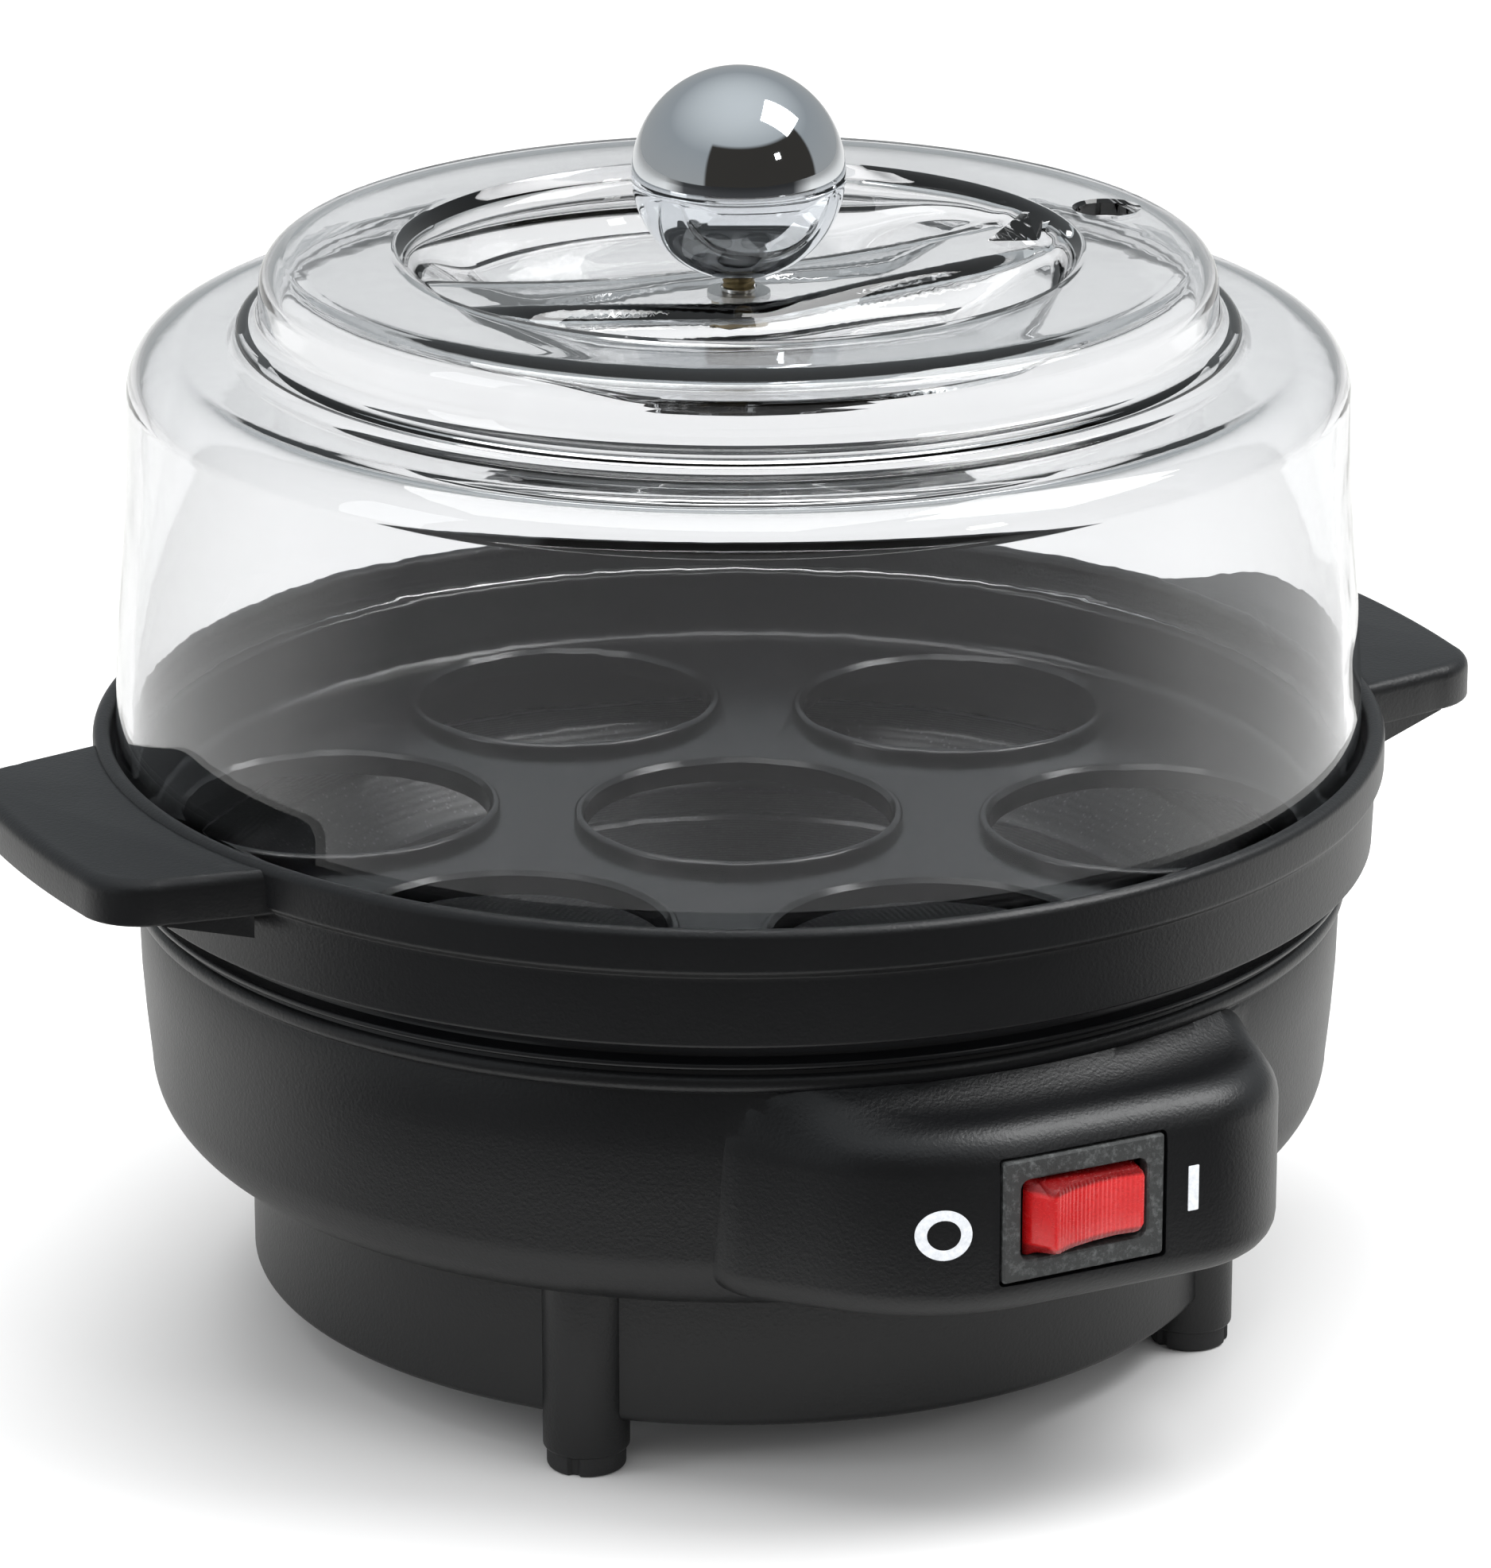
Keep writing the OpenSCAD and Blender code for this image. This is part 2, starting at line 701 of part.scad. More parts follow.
module tray_outline() {
    rim_c = (rim_r + rim_in) / 2;
    bead = (rim_r - rim_in) / 2;
    polygon(concat(
        [[0, tray_floor - floor_t], [spigot_r - spigot_t, tray_floor - floor_t], [spigot_r - spigot_t, spigot_z],
         [spigot_r, spigot_z], [spigot_r, base_top], [neck_r, base_top], [neck_r, band_z], [band_r - 0.5, band_z],
         [band_r, band_z + 0.5], [band_r + 0.3, rim_z - 6], [rim_r - 0.5, rim_z - 5.5], [rim_r, rim_z - 4.5]],
        arc(rim_c, rim_z - bead, bead, 0, 180, 6),
        [[rim_in, seat_z], [tray_in, seat_z], [tray_in, tray_floor], [0, tray_floor]]
    ));
}

module handle_plan() {
    tip = handle_tip_w / 2;
    root = handle_w / 2;
    x1 = handle_reach - handle_corner;
    c = handle_corner;
    polygon([[band_r - 3, -root], [x1, -tip], [x1, tip], [band_r - 3, root]]);
    translate([x1 - eps, c - tip]) square([c + eps, 2 * (tip - c)]);
    for (s = [-1, 1]) translate([x1, s * (tip - c)]) circle(r = c);
}

module egg_tray() {
    root = sqrt(pow(rim_in + 0.6, 2) - pow(handle_w / 2, 2));
    color(black)
        difference() {
            union() {
                rotate_extrude() tray_outline();
                for (p = egg_places())
                    translate([p[0], p[1], tray_floor - eps]) cylinder(r = egg_hole / 2 + collar_t, h = collar_h);
                for (m = [0, 1])
                    mirror([m, 0, 0])
                        difference() {
                            translate([0, 0, handle_top - handle_t]) linear_extrude(handle_t) handle_plan();
                            translate([0, 0, handle_top - handle_t - 1]) cylinder(r = rim_in + 0.6, h = handle_t + 2);
                        }
            }
            for (p = egg_places())
                translate([p[0], p[1], tray_floor - floor_t - 1]) cylinder(r = egg_hole / 2, h = 8);
        }
}

// ---- Lid ----

module lid_outer() {
    polygon(concat(
        [[0, seat_z], [lid_r, seat_z], [lid_r - 0.15 * lid_draft, seat_z + 13], [lid_r - 0.7 * lid_draft, seat_z + 29]],
        arc(lid_top_r - shoulder_corner, shoulder_z - shoulder_corner, shoulder_corner, 0, 90),
        arc(shoulder_in, shoulder_z + 1, 1, 0, 90, 4),
        arc(plateau_r - plateau_corner, plateau_z - plateau_corner, plateau_corner, 0, 90, 6),
        [[recess_r, plateau_z], [recess_r - 1, recess_z], [0, recess_z]]
    ));
}

module lid_inner() {
    t = lid_wall;
    polygon(concat(
        [[0, seat_z - 1], [lid_r - t, seat_z - 1], [lid_r - t - 0.15 * lid_draft, seat_z + 13], [lid_r - t - 0.7 * lid_draft, seat_z + 29]],
        arc(lid_top_r - shoulder_corner, shoulder_z - shoulder_corner, shoulder_corner - t, 0, 90),
        [[plateau_r - t, shoulder_z - t]],
        arc(plateau_r - plateau_corner, plateau_z - plateau_corner, plateau_corner - t, 0, 90, 4),
        [[recess_r + t, plateau_z - t], [recess_r + t - 1, recess_z - t], [0, recess_z - t]]
    ));
}

// The bar's block, hollow from below by inset, under a top that sags to its middle
module bar_block(inset, drop) {
    half = recess_r - inset;
    foot = recess_z - lid_wall - drop;
    difference() {
        translate([-half, inset - bar_w / 2, foot]) cube([2 * half, bar_w - 2 * inset, plateau_z - foot]);
        translate([0, 0, bar_top + saddle_r])
            rotate([90, 0, 0]) cylinder(r = saddle_r + inset, h = bar_w + 2, center = true, $fn = 360);
    }
}

module lid() {
    color([0.9, 0.92, 0.94, 0.35])
        rotate([0, 0, lid_turn])
            difference() {
                union() {
                    difference() {
                        rotate_extrude() lid_outer();
                        rotate_extrude() lid_inner();
                    }
                    bar_block(0.3, 0);
                    translate([pointer_at, 0, plateau_z + pointer_up - pointer_h])
                        cylinder(r1 = pointer_r, r2 = pointer_tip, h = pointer_h, $fn = 4);
                }
                bar_block(lid_wall, 1);
                translate([vent_at, 0, plateau_z - lid_wall - 1]) cylinder(d = vent_d, h = lid_wall + 2);
                translate([0, 0, bar_top - 10]) cylinder(r = knob_screw_r + 0.2, h = 20);
            }
}

module knob_ball() {
    low = ball_z - ball_d / 2;
    color("gainsboro")
        difference() {
            translate([0, 0, ball_z]) sphere(d = ball_d);
            translate([0, 0, low - 1]) cylinder(r = knob_screw_r + fit, h = ball_d * 0.55 + 1);
        }
}

module knob_screw() {
    under = bar_top - lid_wall - washer_t;
    color("darkgoldenrod")
        difference() {
            union() {
                translate([0, 0, under - 2]) cylinder(r = 3.4, h = 2);
                translate([0, 0, under - eps]) cylinder(r = knob_screw_r, h = ball_z - under);
            }
            translate([-3, -0.5, under - 3]) cube([6, 1, 2]);
        }
}

module knob_washer() {
    color(steel) ring(knob_screw_r + fit, 3.9, bar_top - lid_wall - washer_t, washer_t);
}

base_housing();
bottom_cover();
foot_tips();
cover_screws();
cord_gland();
heating_plate();
plate_seal();
heat_spreader();
ring_element();
element_pins();
plate_studs();
stud_washers();
stud_nuts();
heat_shield();
thermostat();
thermostat_blades();
thermostat_strap();
strap_screws();
thermal_fuse();
fuse_sleeve();
fuse_clip();
switch_frame();
switch_blades();
power_marks();
rocker_button();
rocker_lamp();
rocker_plunger();
plunger_spring();
contact_lever();
lead_live();
lead_element();
lead_fuse();
egg_tray();
lid();
knob_ball();
knob_screw();
knob_washer();
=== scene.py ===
"""Round electric egg cooker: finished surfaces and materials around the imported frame.

Z is the axis of the bowl, -Y the switch side and +X the right-hand handle.
Shapes are drawn in millimetres and turned into metres when a mesh is made.
"""

import math

import bmesh
import bpy
import numpy as np
from mathutils import Matrix, Vector


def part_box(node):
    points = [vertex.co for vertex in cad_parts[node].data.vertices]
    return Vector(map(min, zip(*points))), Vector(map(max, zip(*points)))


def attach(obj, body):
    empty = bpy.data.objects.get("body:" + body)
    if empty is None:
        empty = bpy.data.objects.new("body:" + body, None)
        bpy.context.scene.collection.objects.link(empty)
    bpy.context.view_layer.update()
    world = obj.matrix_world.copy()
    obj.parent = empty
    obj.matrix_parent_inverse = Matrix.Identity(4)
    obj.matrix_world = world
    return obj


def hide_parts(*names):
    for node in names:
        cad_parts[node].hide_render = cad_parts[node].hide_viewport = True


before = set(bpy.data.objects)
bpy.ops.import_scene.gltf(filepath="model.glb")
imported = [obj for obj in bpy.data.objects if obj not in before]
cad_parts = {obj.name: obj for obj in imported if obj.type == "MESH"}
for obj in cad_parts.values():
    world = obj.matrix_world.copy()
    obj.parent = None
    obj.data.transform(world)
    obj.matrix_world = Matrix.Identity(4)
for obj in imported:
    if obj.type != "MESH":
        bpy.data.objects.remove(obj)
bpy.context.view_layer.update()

MM = 0.001


# ---- Camera ----

def add_camera():
    """The viewing angle: 27 degrees round from the switch side and 19 degrees down."""
    turn, drop = math.radians(27), math.radians(19.11)
    view = Vector((math.cos(drop) * math.sin(turn), math.cos(drop) * math.cos(turn), -math.sin(drop)))
    data = bpy.data.cameras.new("camera")
    data.lens = 176.9
    data.sensor_width = 36
    data.clip_start = 0.05
    camera = bpy.data.objects.new("camera", data)
    camera.location = (-0.4073, -0.8012, 0.3778)
    camera.rotation_euler = view.to_track_quat("-Z", "Y").to_euler()
    bpy.context.scene.collection.objects.link(camera)
    bpy.context.scene.camera = camera


add_camera()


# ---- Sizes, in millimetres, from the frame ----

def corners(node):
    """Lowest and highest corner of a CAD node in millimetres."""
    low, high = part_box(node)
    return low / MM, high / MM


WALL = 2.2

housing_low, housing_high = corners("base_housing")
BASE_R = housing_high.x + 0.1
BASE_TOP = housing_high.z
FACE_Y = housing_low.y
LIP_IN = BASE_R - WALL
LEDGE_Z = BASE_TOP - 5.5
LEDGE_T = 2
LEDGE_IN = BASE_R - 8.7
FLOOR_IN = 45

cover_low, cover_high = corners("bottom_cover")
COVER_R = cover_high.x
BOWL_Z = cover_high.z
tip_low, tip_high = corners("foot_tips")
TIP_H = cover_low.z
COVER_Z = 6.6
FOOT_R = 5.2
TIP_R = FOOT_R - 0.45
FOOT_AT = (tip_high.x - TIP_R) * math.sqrt(2)
FIX_R = BASE_R - 23.7

tray_low, tray_high = corners("egg_tray")
RIM_Z = tray_high.z
RIM_R = BASE_R + 5
RIM_IN = RIM_R - 2.25
BAND_R = BASE_R + 3.7
BAND_Z = BASE_TOP + 3.8
SEAT_Z = RIM_Z - 5
TRAY_FLOOR = BAND_Z + 0.7
FLOOR_T = 1.6
HANDLE_REACH = tray_high.x
HANDLE_TOP = RIM_Z - 0.5
HANDLE_T = 5.5
EGG_HOLE_R = 19
EGG_RING = 50

lid_low, lid_high = corners("lid")
LID_R = lid_high.x
LID_WALL = 2
PLATEAU_Z = SEAT_Z + 64
LID_TURN = math.radians(-5)

ball_low, ball_high = corners("knob_ball")
BALL_Z = (ball_low.z + ball_high.z) / 2
BALL_R = (ball_high.z - ball_low.z) / 2 + 0.5    # drawn half a millimetre larger than its CAD node
BAR_TOP = PLATEAU_Z - 5

flange_low, flange_high = corners("switch_frame")
SWITCH_X = (flange_low.x + flange_high.x) / 2
SWITCH_Z = (flange_low.z + flange_high.z) / 2
FLANGE_W = flange_high.x - flange_low.x
FLANGE_H = flange_high.z - flange_low.z
SWITCH_BACK = flange_high.y

gland_low, gland_high = corners("cord_gland")
GLAND_Z = (gland_low.z + gland_high.z) / 2


# ---- Outlines ----

def arc(x, y, r, start, end, steps=8):
    """Points on an arc about (x, y), from one angle to another in degrees."""
    angles = [math.radians(start + (end - start) * i / steps) for i in range(steps + 1)]
    return [(x + r * math.cos(a), y + r * math.sin(a)) for a in angles]


def rounded_box(width, height, corner, steps=6):
    """Corners of a rounded rectangle about the origin, going round once."""
    x, y = width / 2 - corner, height / 2 - corner
    points = []
    for k, (sx, sy) in enumerate([(1, 1), (-1, 1), (-1, -1), (1, -1)]):
        points += arc(sx * x, sy * y, corner, 90 * k, 90 * k + 90, steps)
    return points


def smoothstep(t):
    t = np.clip(t, 0, 1)
    return t * t * (3 - 2 * t)


# ---- Meshes ----

def new_object(name, points, faces):
    """An object from points in millimetres."""
    mesh = bpy.data.meshes.new(name)
    mesh.from_pydata([(x * MM, y * MM, z * MM) for x, y, z in points], [], faces)
    piece = bpy.data.objects.new(name, mesh)
    bpy.context.scene.collection.objects.link(piece)
    return piece


def tidy(piece):
    """Welds doubles and points the faces of a closed shape outwards."""
    shape = bmesh.new()
    shape.from_mesh(piece.data)
    bmesh.ops.remove_doubles(shape, verts=shape.verts, dist=1e-6)
    bmesh.ops.dissolve_degenerate(shape, edges=shape.edges, dist=1e-7)
    bmesh.ops.recalc_face_normals(shape, faces=shape.faces)
    shape.to_mesh(piece.data)
    shape.free()
    return piece


def loft(name, rings, closed=False):
    """A skin over rings of points. The first and last rings are capped unless the skin closes on itself."""
    count = len(rings[0])
    points = [p for ring in rings for p in ring]
    faces = []
    spans = len(rings) if closed else len(rings) - 1
    for i in range(spans):
        a, b = i * count, (i + 1) % len(rings) * count
        for k in range(count):
            n = (k + 1) % count
            faces.append((a + k, a + n, b + n, b + k))
    if not closed:
        faces.append(tuple(range(count))[::-1])
        faces.append(tuple(range(len(points) - count, len(points))))
    return tidy(new_object(name, points, faces))


def merged(piece, tool, operation):
    """Joins a tool to a piece, or cuts it away, and leaves a plain mesh."""
    step = piece.modifiers.new("cut", "BOOLEAN")
    step.operation = operation
    step.solver = "EXACT"
    step.object = tool
    return plain_mesh(piece, [tool])


def plain_mesh(piece, used=()):
    """Replaces a piece's mesh by its evaluated one, and removes its modifiers and the tools used."""
    graph = bpy.context.evaluated_depsgraph_get()
    result = bpy.data.meshes.new_from_object(piece.evaluated_get(graph))
    piece.modifiers.clear()
    old = piece.data
    piece.data = result
    bpy.data.meshes.remove(old)
    for tool in used:
        bpy.data.objects.remove(tool)
    return piece


def joined(name, pieces):
    """Several separate shells in one object."""
    shape = bmesh.new()
    for piece in pieces:
        shape.from_mesh(piece.data)
    mesh = bpy.data.meshes.new(name)
    shape.to_mesh(mesh)
    shape.free()
    for piece in pieces:
        bpy.data.objects.remove(piece)
    result = bpy.data.objects.new(name, mesh)
    bpy.context.scene.collection.objects.link(result)
    return result


def moved(piece, matrix):
    piece.data.transform(matrix)
    if matrix.determinant() < 0:
        piece.data.flip_normals()
    return piece


def at(x, y, z):
    return Matrix.Translation((x * MM, y * MM, z * MM))


def about_z(radians):
    return Matrix.Rotation(radians, 4, "Z")


# Turns a shape made about Z so that its Z points towards -Y
FACING_FRONT = Matrix.Rotation(math.radians(90), 4, "X")


# ---- Geometry Nodes: turned pieces and pieces repeated round the axis ----

GUIDE_R = 0.1


def tree_with(name, sockets):
    """An empty geometry tree with named inputs.

    Returns the tree, its input and output nodes, and the identifiers of its inputs.
    """
    tree = bpy.data.node_groups.new(name, "GeometryNodeTree")
    tree.interface.new_socket("Geometry", in_out="INPUT", socket_type="NodeSocketGeometry")
    tree.interface.new_socket("Geometry", in_out="OUTPUT", socket_type="NodeSocketGeometry")
    names = {}
    for label, kind in sockets:
        names[label] = tree.interface.new_socket(label, in_out="INPUT", socket_type=kind).identifier
    return tree, tree.nodes.new("NodeGroupInput"), tree.nodes.new("NodeGroupOutput"), names


def add_node(tree, kind, settings=None, links=None):
    """Any node, its settings first, then the values or links of its sockets."""
    node = tree.nodes.new(kind)
    for key, value in (settings or {}).items():
        setattr(node, key, value)
    for key, value in (links or {}).items():
        if isinstance(value, bpy.types.NodeSocket):
            tree.links.new(value, node.inputs[key])
        else:
            node.inputs[key].default_value = value
    return node


def end_tree(tree, last, finish, out):
    """Realizes the instances and sets the material, as every tree here ends."""
    real = add_node(tree, "GeometryNodeRealizeInstances", links={"Geometry": last})
    painted = add_node(tree, "GeometryNodeSetMaterial", links={
        "Geometry": real.outputs[0], "Material": finish})
    tree.links.new(painted.outputs[0], out.inputs[0])


def turned_tree():
    """Sweeps an outline of edges round the Z axis."""
    sockets = [("Steps", "NodeSocketInt"), ("Guide radius", "NodeSocketFloat"),
               ("Finish", "NodeSocketMaterial")]
    tree, given, out, names = tree_with("turned_piece", sockets)
    outline = add_node(tree, "GeometryNodeMeshToCurve", links={"Mesh": given.outputs["Geometry"]})
    circle = add_node(tree, "GeometryNodeCurvePrimitiveCircle", links={
        "Resolution": given.outputs["Steps"], "Radius": given.outputs["Guide radius"]})
    upright = add_node(tree, "GeometryNodeSetCurveNormal", {"mode": "Z_UP"}, {"Curve": circle.outputs[0]})
    swept = add_node(tree, "GeometryNodeCurveToMesh", links={
        "Curve": upright.outputs[0], "Profile Curve": outline.outputs[0]})
    welded = add_node(tree, "GeometryNodeMergeByDistance", links={
        "Geometry": swept.outputs[0], "Distance": 1e-6})
    end_tree(tree, welded.outputs[0], given.outputs["Finish"], out)
    return tree, names


def round_tree():
    """Copies a piece to evenly spaced places on a circle, each turned to face outwards."""
    sockets = [("Count", "NodeSocketInt"), ("Radius", "NodeSocketFloat"),
               ("First angle", "NodeSocketFloat"), ("Finish", "NodeSocketMaterial")]
    tree, given, out, names = tree_with("round_the_axis", sockets)
    places = add_node(tree, "GeometryNodeMeshCircle", links={
        "Vertices": given.outputs["Count"], "Radius": given.outputs["Radius"]})
    index = add_node(tree, "GeometryNodeInputIndex")
    share = add_node(tree, "ShaderNodeMath", {"operation": "DIVIDE"}, {
        0: 2 * math.pi, 1: given.outputs["Count"]})
    angle = add_node(tree, "ShaderNodeMath", {"operation": "MULTIPLY"}, {
        0: index.outputs[0], 1: share.outputs[0]})
    facing = add_node(tree, "ShaderNodeCombineXYZ", links={"Z": angle.outputs[0]})
    copies = add_node(tree, "GeometryNodeInstanceOnPoints", links={
        "Points": places.outputs["Mesh"], "Instance": given.outputs["Geometry"],
        "Rotation": facing.outputs[0]})
    start = add_node(tree, "ShaderNodeCombineXYZ", links={"Z": given.outputs["First angle"]})
    turned = add_node(tree, "GeometryNodeTransform", links={
        "Geometry": copies.outputs[0], "Rotation": start.outputs[0]})
    end_tree(tree, turned.outputs[0], given.outputs["Finish"], out)
    return tree, names


TURNED, TURNED_NAMES = turned_tree()
ROUND, ROUND_NAMES = round_tree()


def with_tree(piece, tree, names, values):
    """Runs a geometry tree on a piece with its inputs set, and keeps the plain mesh."""
    step = piece.modifiers.new("nodes", "NODES")
    step.node_group = tree
    for label, value in values.items():
        step[names[label]] = value
    piece.update_tag()
    return plain_mesh(piece)


def turn(name, outline, finish=None, steps=192):
    """A turned piece from (radius, height) points. One that starts and ends on the axis stays open there."""
    on_axis = outline[0][0] == 0 and outline[-1][0] == 0
    points = [(r - GUIDE_R / MM, -z, 0) for r, z in outline]
    edges = [(i, i + 1) for i in range(len(points) - 1)]
    if not on_axis:
        edges.append((len(points) - 1, 0))
    mesh = bpy.data.meshes.new(name)
    mesh.from_pydata([(x * MM, y * MM, 0) for x, y, _ in points], edges, [])
    piece = bpy.data.objects.new(name, mesh)
    bpy.context.scene.collection.objects.link(piece)
    values = {"Steps": steps, "Guide radius": GUIDE_R, "Finish": finish}
    with_tree(piece, TURNED, TURNED_NAMES, values)
    return tidy(piece)


def round_the_axis(piece, count, radius, first=0.0, finish=None):
    """The piece copied to places on a circle. The first place is at the given angle in degrees from +X."""
    values = {"Count": count, "Radius": radius * MM, "First angle": math.radians(first), "Finish": finish}
    return with_tree(piece, ROUND, ROUND_NAMES, values)


# ---- Materials ----

class Value:
    """A socket of a material's tree. Arithmetic on it adds Math nodes."""

    def __init__(self, tree, socket):
        self.tree = tree
        self.socket = socket

    def math(self, operation, first, second=None):
        node = self.tree.nodes.new("ShaderNodeMath")
        node.operation = operation
        for place, value in enumerate([first, second]):
            if value is not None:
                plug(self.tree, node.inputs[place], value)
        return Value(self.tree, node.outputs[0])

    def __add__(self, other):
        return self.math("ADD", self, other)

    def __radd__(self, other):
        return self.math("ADD", other, self)

    def __sub__(self, other):
        return self.math("SUBTRACT", self, other)

    def __rsub__(self, other):
        return self.math("SUBTRACT", other, self)

    def __mul__(self, other):
        return self.math("MULTIPLY", self, other)

    def __rmul__(self, other):
        return self.math("MULTIPLY", other, self)

    def __truediv__(self, other):
        return self.math("DIVIDE", self, other)

    def above(self, edge, soft):
        """0 below edge, 1 above edge + soft."""
        return ((self - edge) / soft).held()

    def held(self):
        node = self.tree.nodes.new("ShaderNodeClamp")
        plug(self.tree, node.inputs[0], self)
        return Value(self.tree, node.outputs[0])

    def root(self):
        return self.math("SQRT", self)

    def sine(self):
        return self.math("SINE", self)


def plug(tree, socket, value):
    if isinstance(value, Value):
        tree.links.new(value.socket, socket)
    else:
        socket.default_value = value


class Finish:
    """A procedural material: one shader with constants on its own sockets, and nodes that vary it."""

    def __init__(self, name, **constants):
        self.material = bpy.data.materials.new(name)
        self.material.use_nodes = True
        self.tree = self.material.node_tree
        self.tree.nodes.clear()
        self.shader = self.tree.nodes.new("ShaderNodeBsdfPrincipled")
        self.output = self.tree.nodes.new("ShaderNodeOutputMaterial")
        self.tree.links.new(self.shader.outputs[0], self.output.inputs[0])
        for key, value in constants.items():
            self.set(key.replace("_", " "), value)
        self.place = self.node("ShaderNodeTexCoord", out="Object")

    def set(self, label, value):
        plug(self.tree, self.shader.inputs[label], value)

    def node(self, kind, settings=None, out=0, stops=None, **sockets):
        """Any node: its settings, a ramp's stops, then its sockets. Returns one output."""
        node = self.tree.nodes.new(kind)
        for key, value in (settings or {}).items():
            setattr(node, key, value)
        if stops:
            ramp = node.color_ramp.elements
            while len(ramp) < len(stops):
                ramp.new(0.5)
            for element, (position, color) in zip(ramp, stops):
                element.position = position
                element.color = color if len(color) == 4 else (*color, 1)
        for key, value in sockets.items():
            plug(self.tree, node.inputs[key.replace("_", " ")], value)
        return Value(self.tree, node.outputs[out])

    def noise(self, size, detail=2.0, rough=0.5, stretch=None):
        """Noise whose grains are about size millimetres across."""
        place = self.place
        if stretch:
            place = self.node("ShaderNodeMapping", Vector=place, Scale=stretch)
        return self.node("ShaderNodeTexNoise", Vector=place, Scale=1 / (size * MM), Detail=detail,
                         Roughness=rough)

    def cells(self, size, feature="F1"):
        scale = 1 / (size * MM)
        return self.node("ShaderNodeTexVoronoi", {"feature": feature}, Vector=self.place, Scale=scale)

    def blend(self, share, first, second):
        """A colour between two."""
        node = self.tree.nodes.new("ShaderNodeMix")
        node.data_type = "RGBA"
        plug(self.tree, node.inputs[0], share)
        for place, value in ((6, first), (7, second)):
            if isinstance(value, tuple) and len(value) == 3:
                value = (*value, 1)
            plug(self.tree, node.inputs[place], value)
        return Value(self.tree, node.outputs[2])

    def axes(self):
        """X, Y and Z of the place on the object, in millimetres."""
        node = self.tree.nodes.new("ShaderNodeSeparateXYZ")
        plug(self.tree, node.inputs[0], self.place)
        return [Value(self.tree, node.outputs[i]) / MM for i in range(3)]

    def relief(self, height, depth, strength=1.0):
        """Bump from a height, depth in millimetres, feeding Normal."""
        node = self.tree.nodes.new("ShaderNodeBump")
        node.inputs["Strength"].default_value = strength
        node.inputs["Distance"].default_value = depth * MM
        plug(self.tree, node.inputs["Height"], height)
        self.set("Normal", Value(self.tree, node.outputs[0]))


def moulded(name, dark, light, rough, grain=0.35, depth=0.03, **more):
    """Moulded plastic with a fine spark-eroded grain, faint cloudiness and slightly uneven gloss."""
    f = Finish(name, **more)
    clouds = f.noise(26, detail=3)
    grain_height = f.noise(grain, detail=1.5, rough=0.6) + 0.6 * f.cells(grain * 1.6)
    f.set("Base Color", f.blend(clouds, dark, light))
    f.set("Roughness", rough - 0.05 + 0.08 * clouds + 0.05 * f.noise(grain * 2))
    f.relief(grain_height, depth)
    return f


def black_plastic():
    return moulded("black_plastic", (0.0042, 0.0044, 0.005), (0.0068, 0.0071, 0.008), 0.36).material


def tray_plastic():
    """Satin outside, nearly polished on the floor inside the rim."""
    f = Finish("tray_plastic")
    x, y, z = f.axes()
    radius = (x * x + y * y).root()
    inside = (1 - radius.above(RIM_IN - 2.2, 0.8)) * (1 - z.above(SEAT_Z + 0.2, 0.6))
    clouds = f.noise(22, detail=3)
    f.set("Base Color", f.blend(clouds, (0.004, 0.0042, 0.0048), (0.0064, 0.0067, 0.0076)))
    satin = 0.34 + 0.07 * clouds + 0.05 * f.noise(0.7)
    f.set("Roughness", satin * (1 - inside) + inside * (0.16 + 0.06 * f.noise(6)))
    grain = f.noise(0.35, detail=1.5, rough=0.6) + 0.6 * f.cells(0.56)
    f.relief(grain * (1 - 0.96 * inside), 0.028)
    return f.material


def switch_plastic():
    """Coarse matt brown-black of the switch's bezel, with pale dust in the grain."""
    f = Finish("switch_plastic")
    coarse = f.noise(0.45, detail=3, rough=0.7)
    specks = f.cells(0.8)
    f.set("Base Color", f.blend(f.noise(0.9, detail=4, rough=0.75).above(0.5, 0.25),
                                (0.036, 0.038, 0.038), (0.118, 0.125, 0.125)))
    f.set("Roughness", 0.58 + 0.2 * coarse)
    f.relief(coarse + 0.5 * specks, 0.09)
    return f.material


def clear_plastic():
    """Polished clear plastic with very faint flow waves."""
    f = Finish("clear_plastic", Base_Color=(0.95, 0.954, 0.957, 1), Transmission_Weight=1.0, IOR=1.5)
    f.set("Roughness", 0.004 + 0.012 * f.noise(9, detail=3))
    f.relief(f.noise(14, detail=1) + 0.2 * f.noise(4, detail=1), 0.035)
    return f.material


def chrome():
    """Bright plating with a slight unevenness and the faintest haze."""
    f = Finish("chrome", Metallic=1.0)
    haze = f.noise(5, detail=4)
    f.set("Base Color", f.blend(haze, (0.66, 0.69, 0.72), (0.72, 0.745, 0.77)))
    f.set("Roughness", 0.035 + 0.05 * haze.above(0.55, 0.4))
    f.relief(f.noise(7, detail=1), 0.02)
    return f.material


def metal(name, dark, light, rough, brush=None, grain=0.5, depth=0.01):
    """Bare or plated metal. brush stretches the grain along an axis."""
    f = Finish(name, Metallic=1.0)
    streaks = f.noise(grain, detail=3, rough=0.6, stretch=brush)
    tarnish = f.noise(6, detail=4, rough=0.6)
    f.set("Base Color", f.blend(0.6 * tarnish + 0.4 * streaks, dark, light))
    f.set("Roughness", rough - 0.06 + 0.16 * tarnish)
    f.relief(streaks, depth)
    return f.material


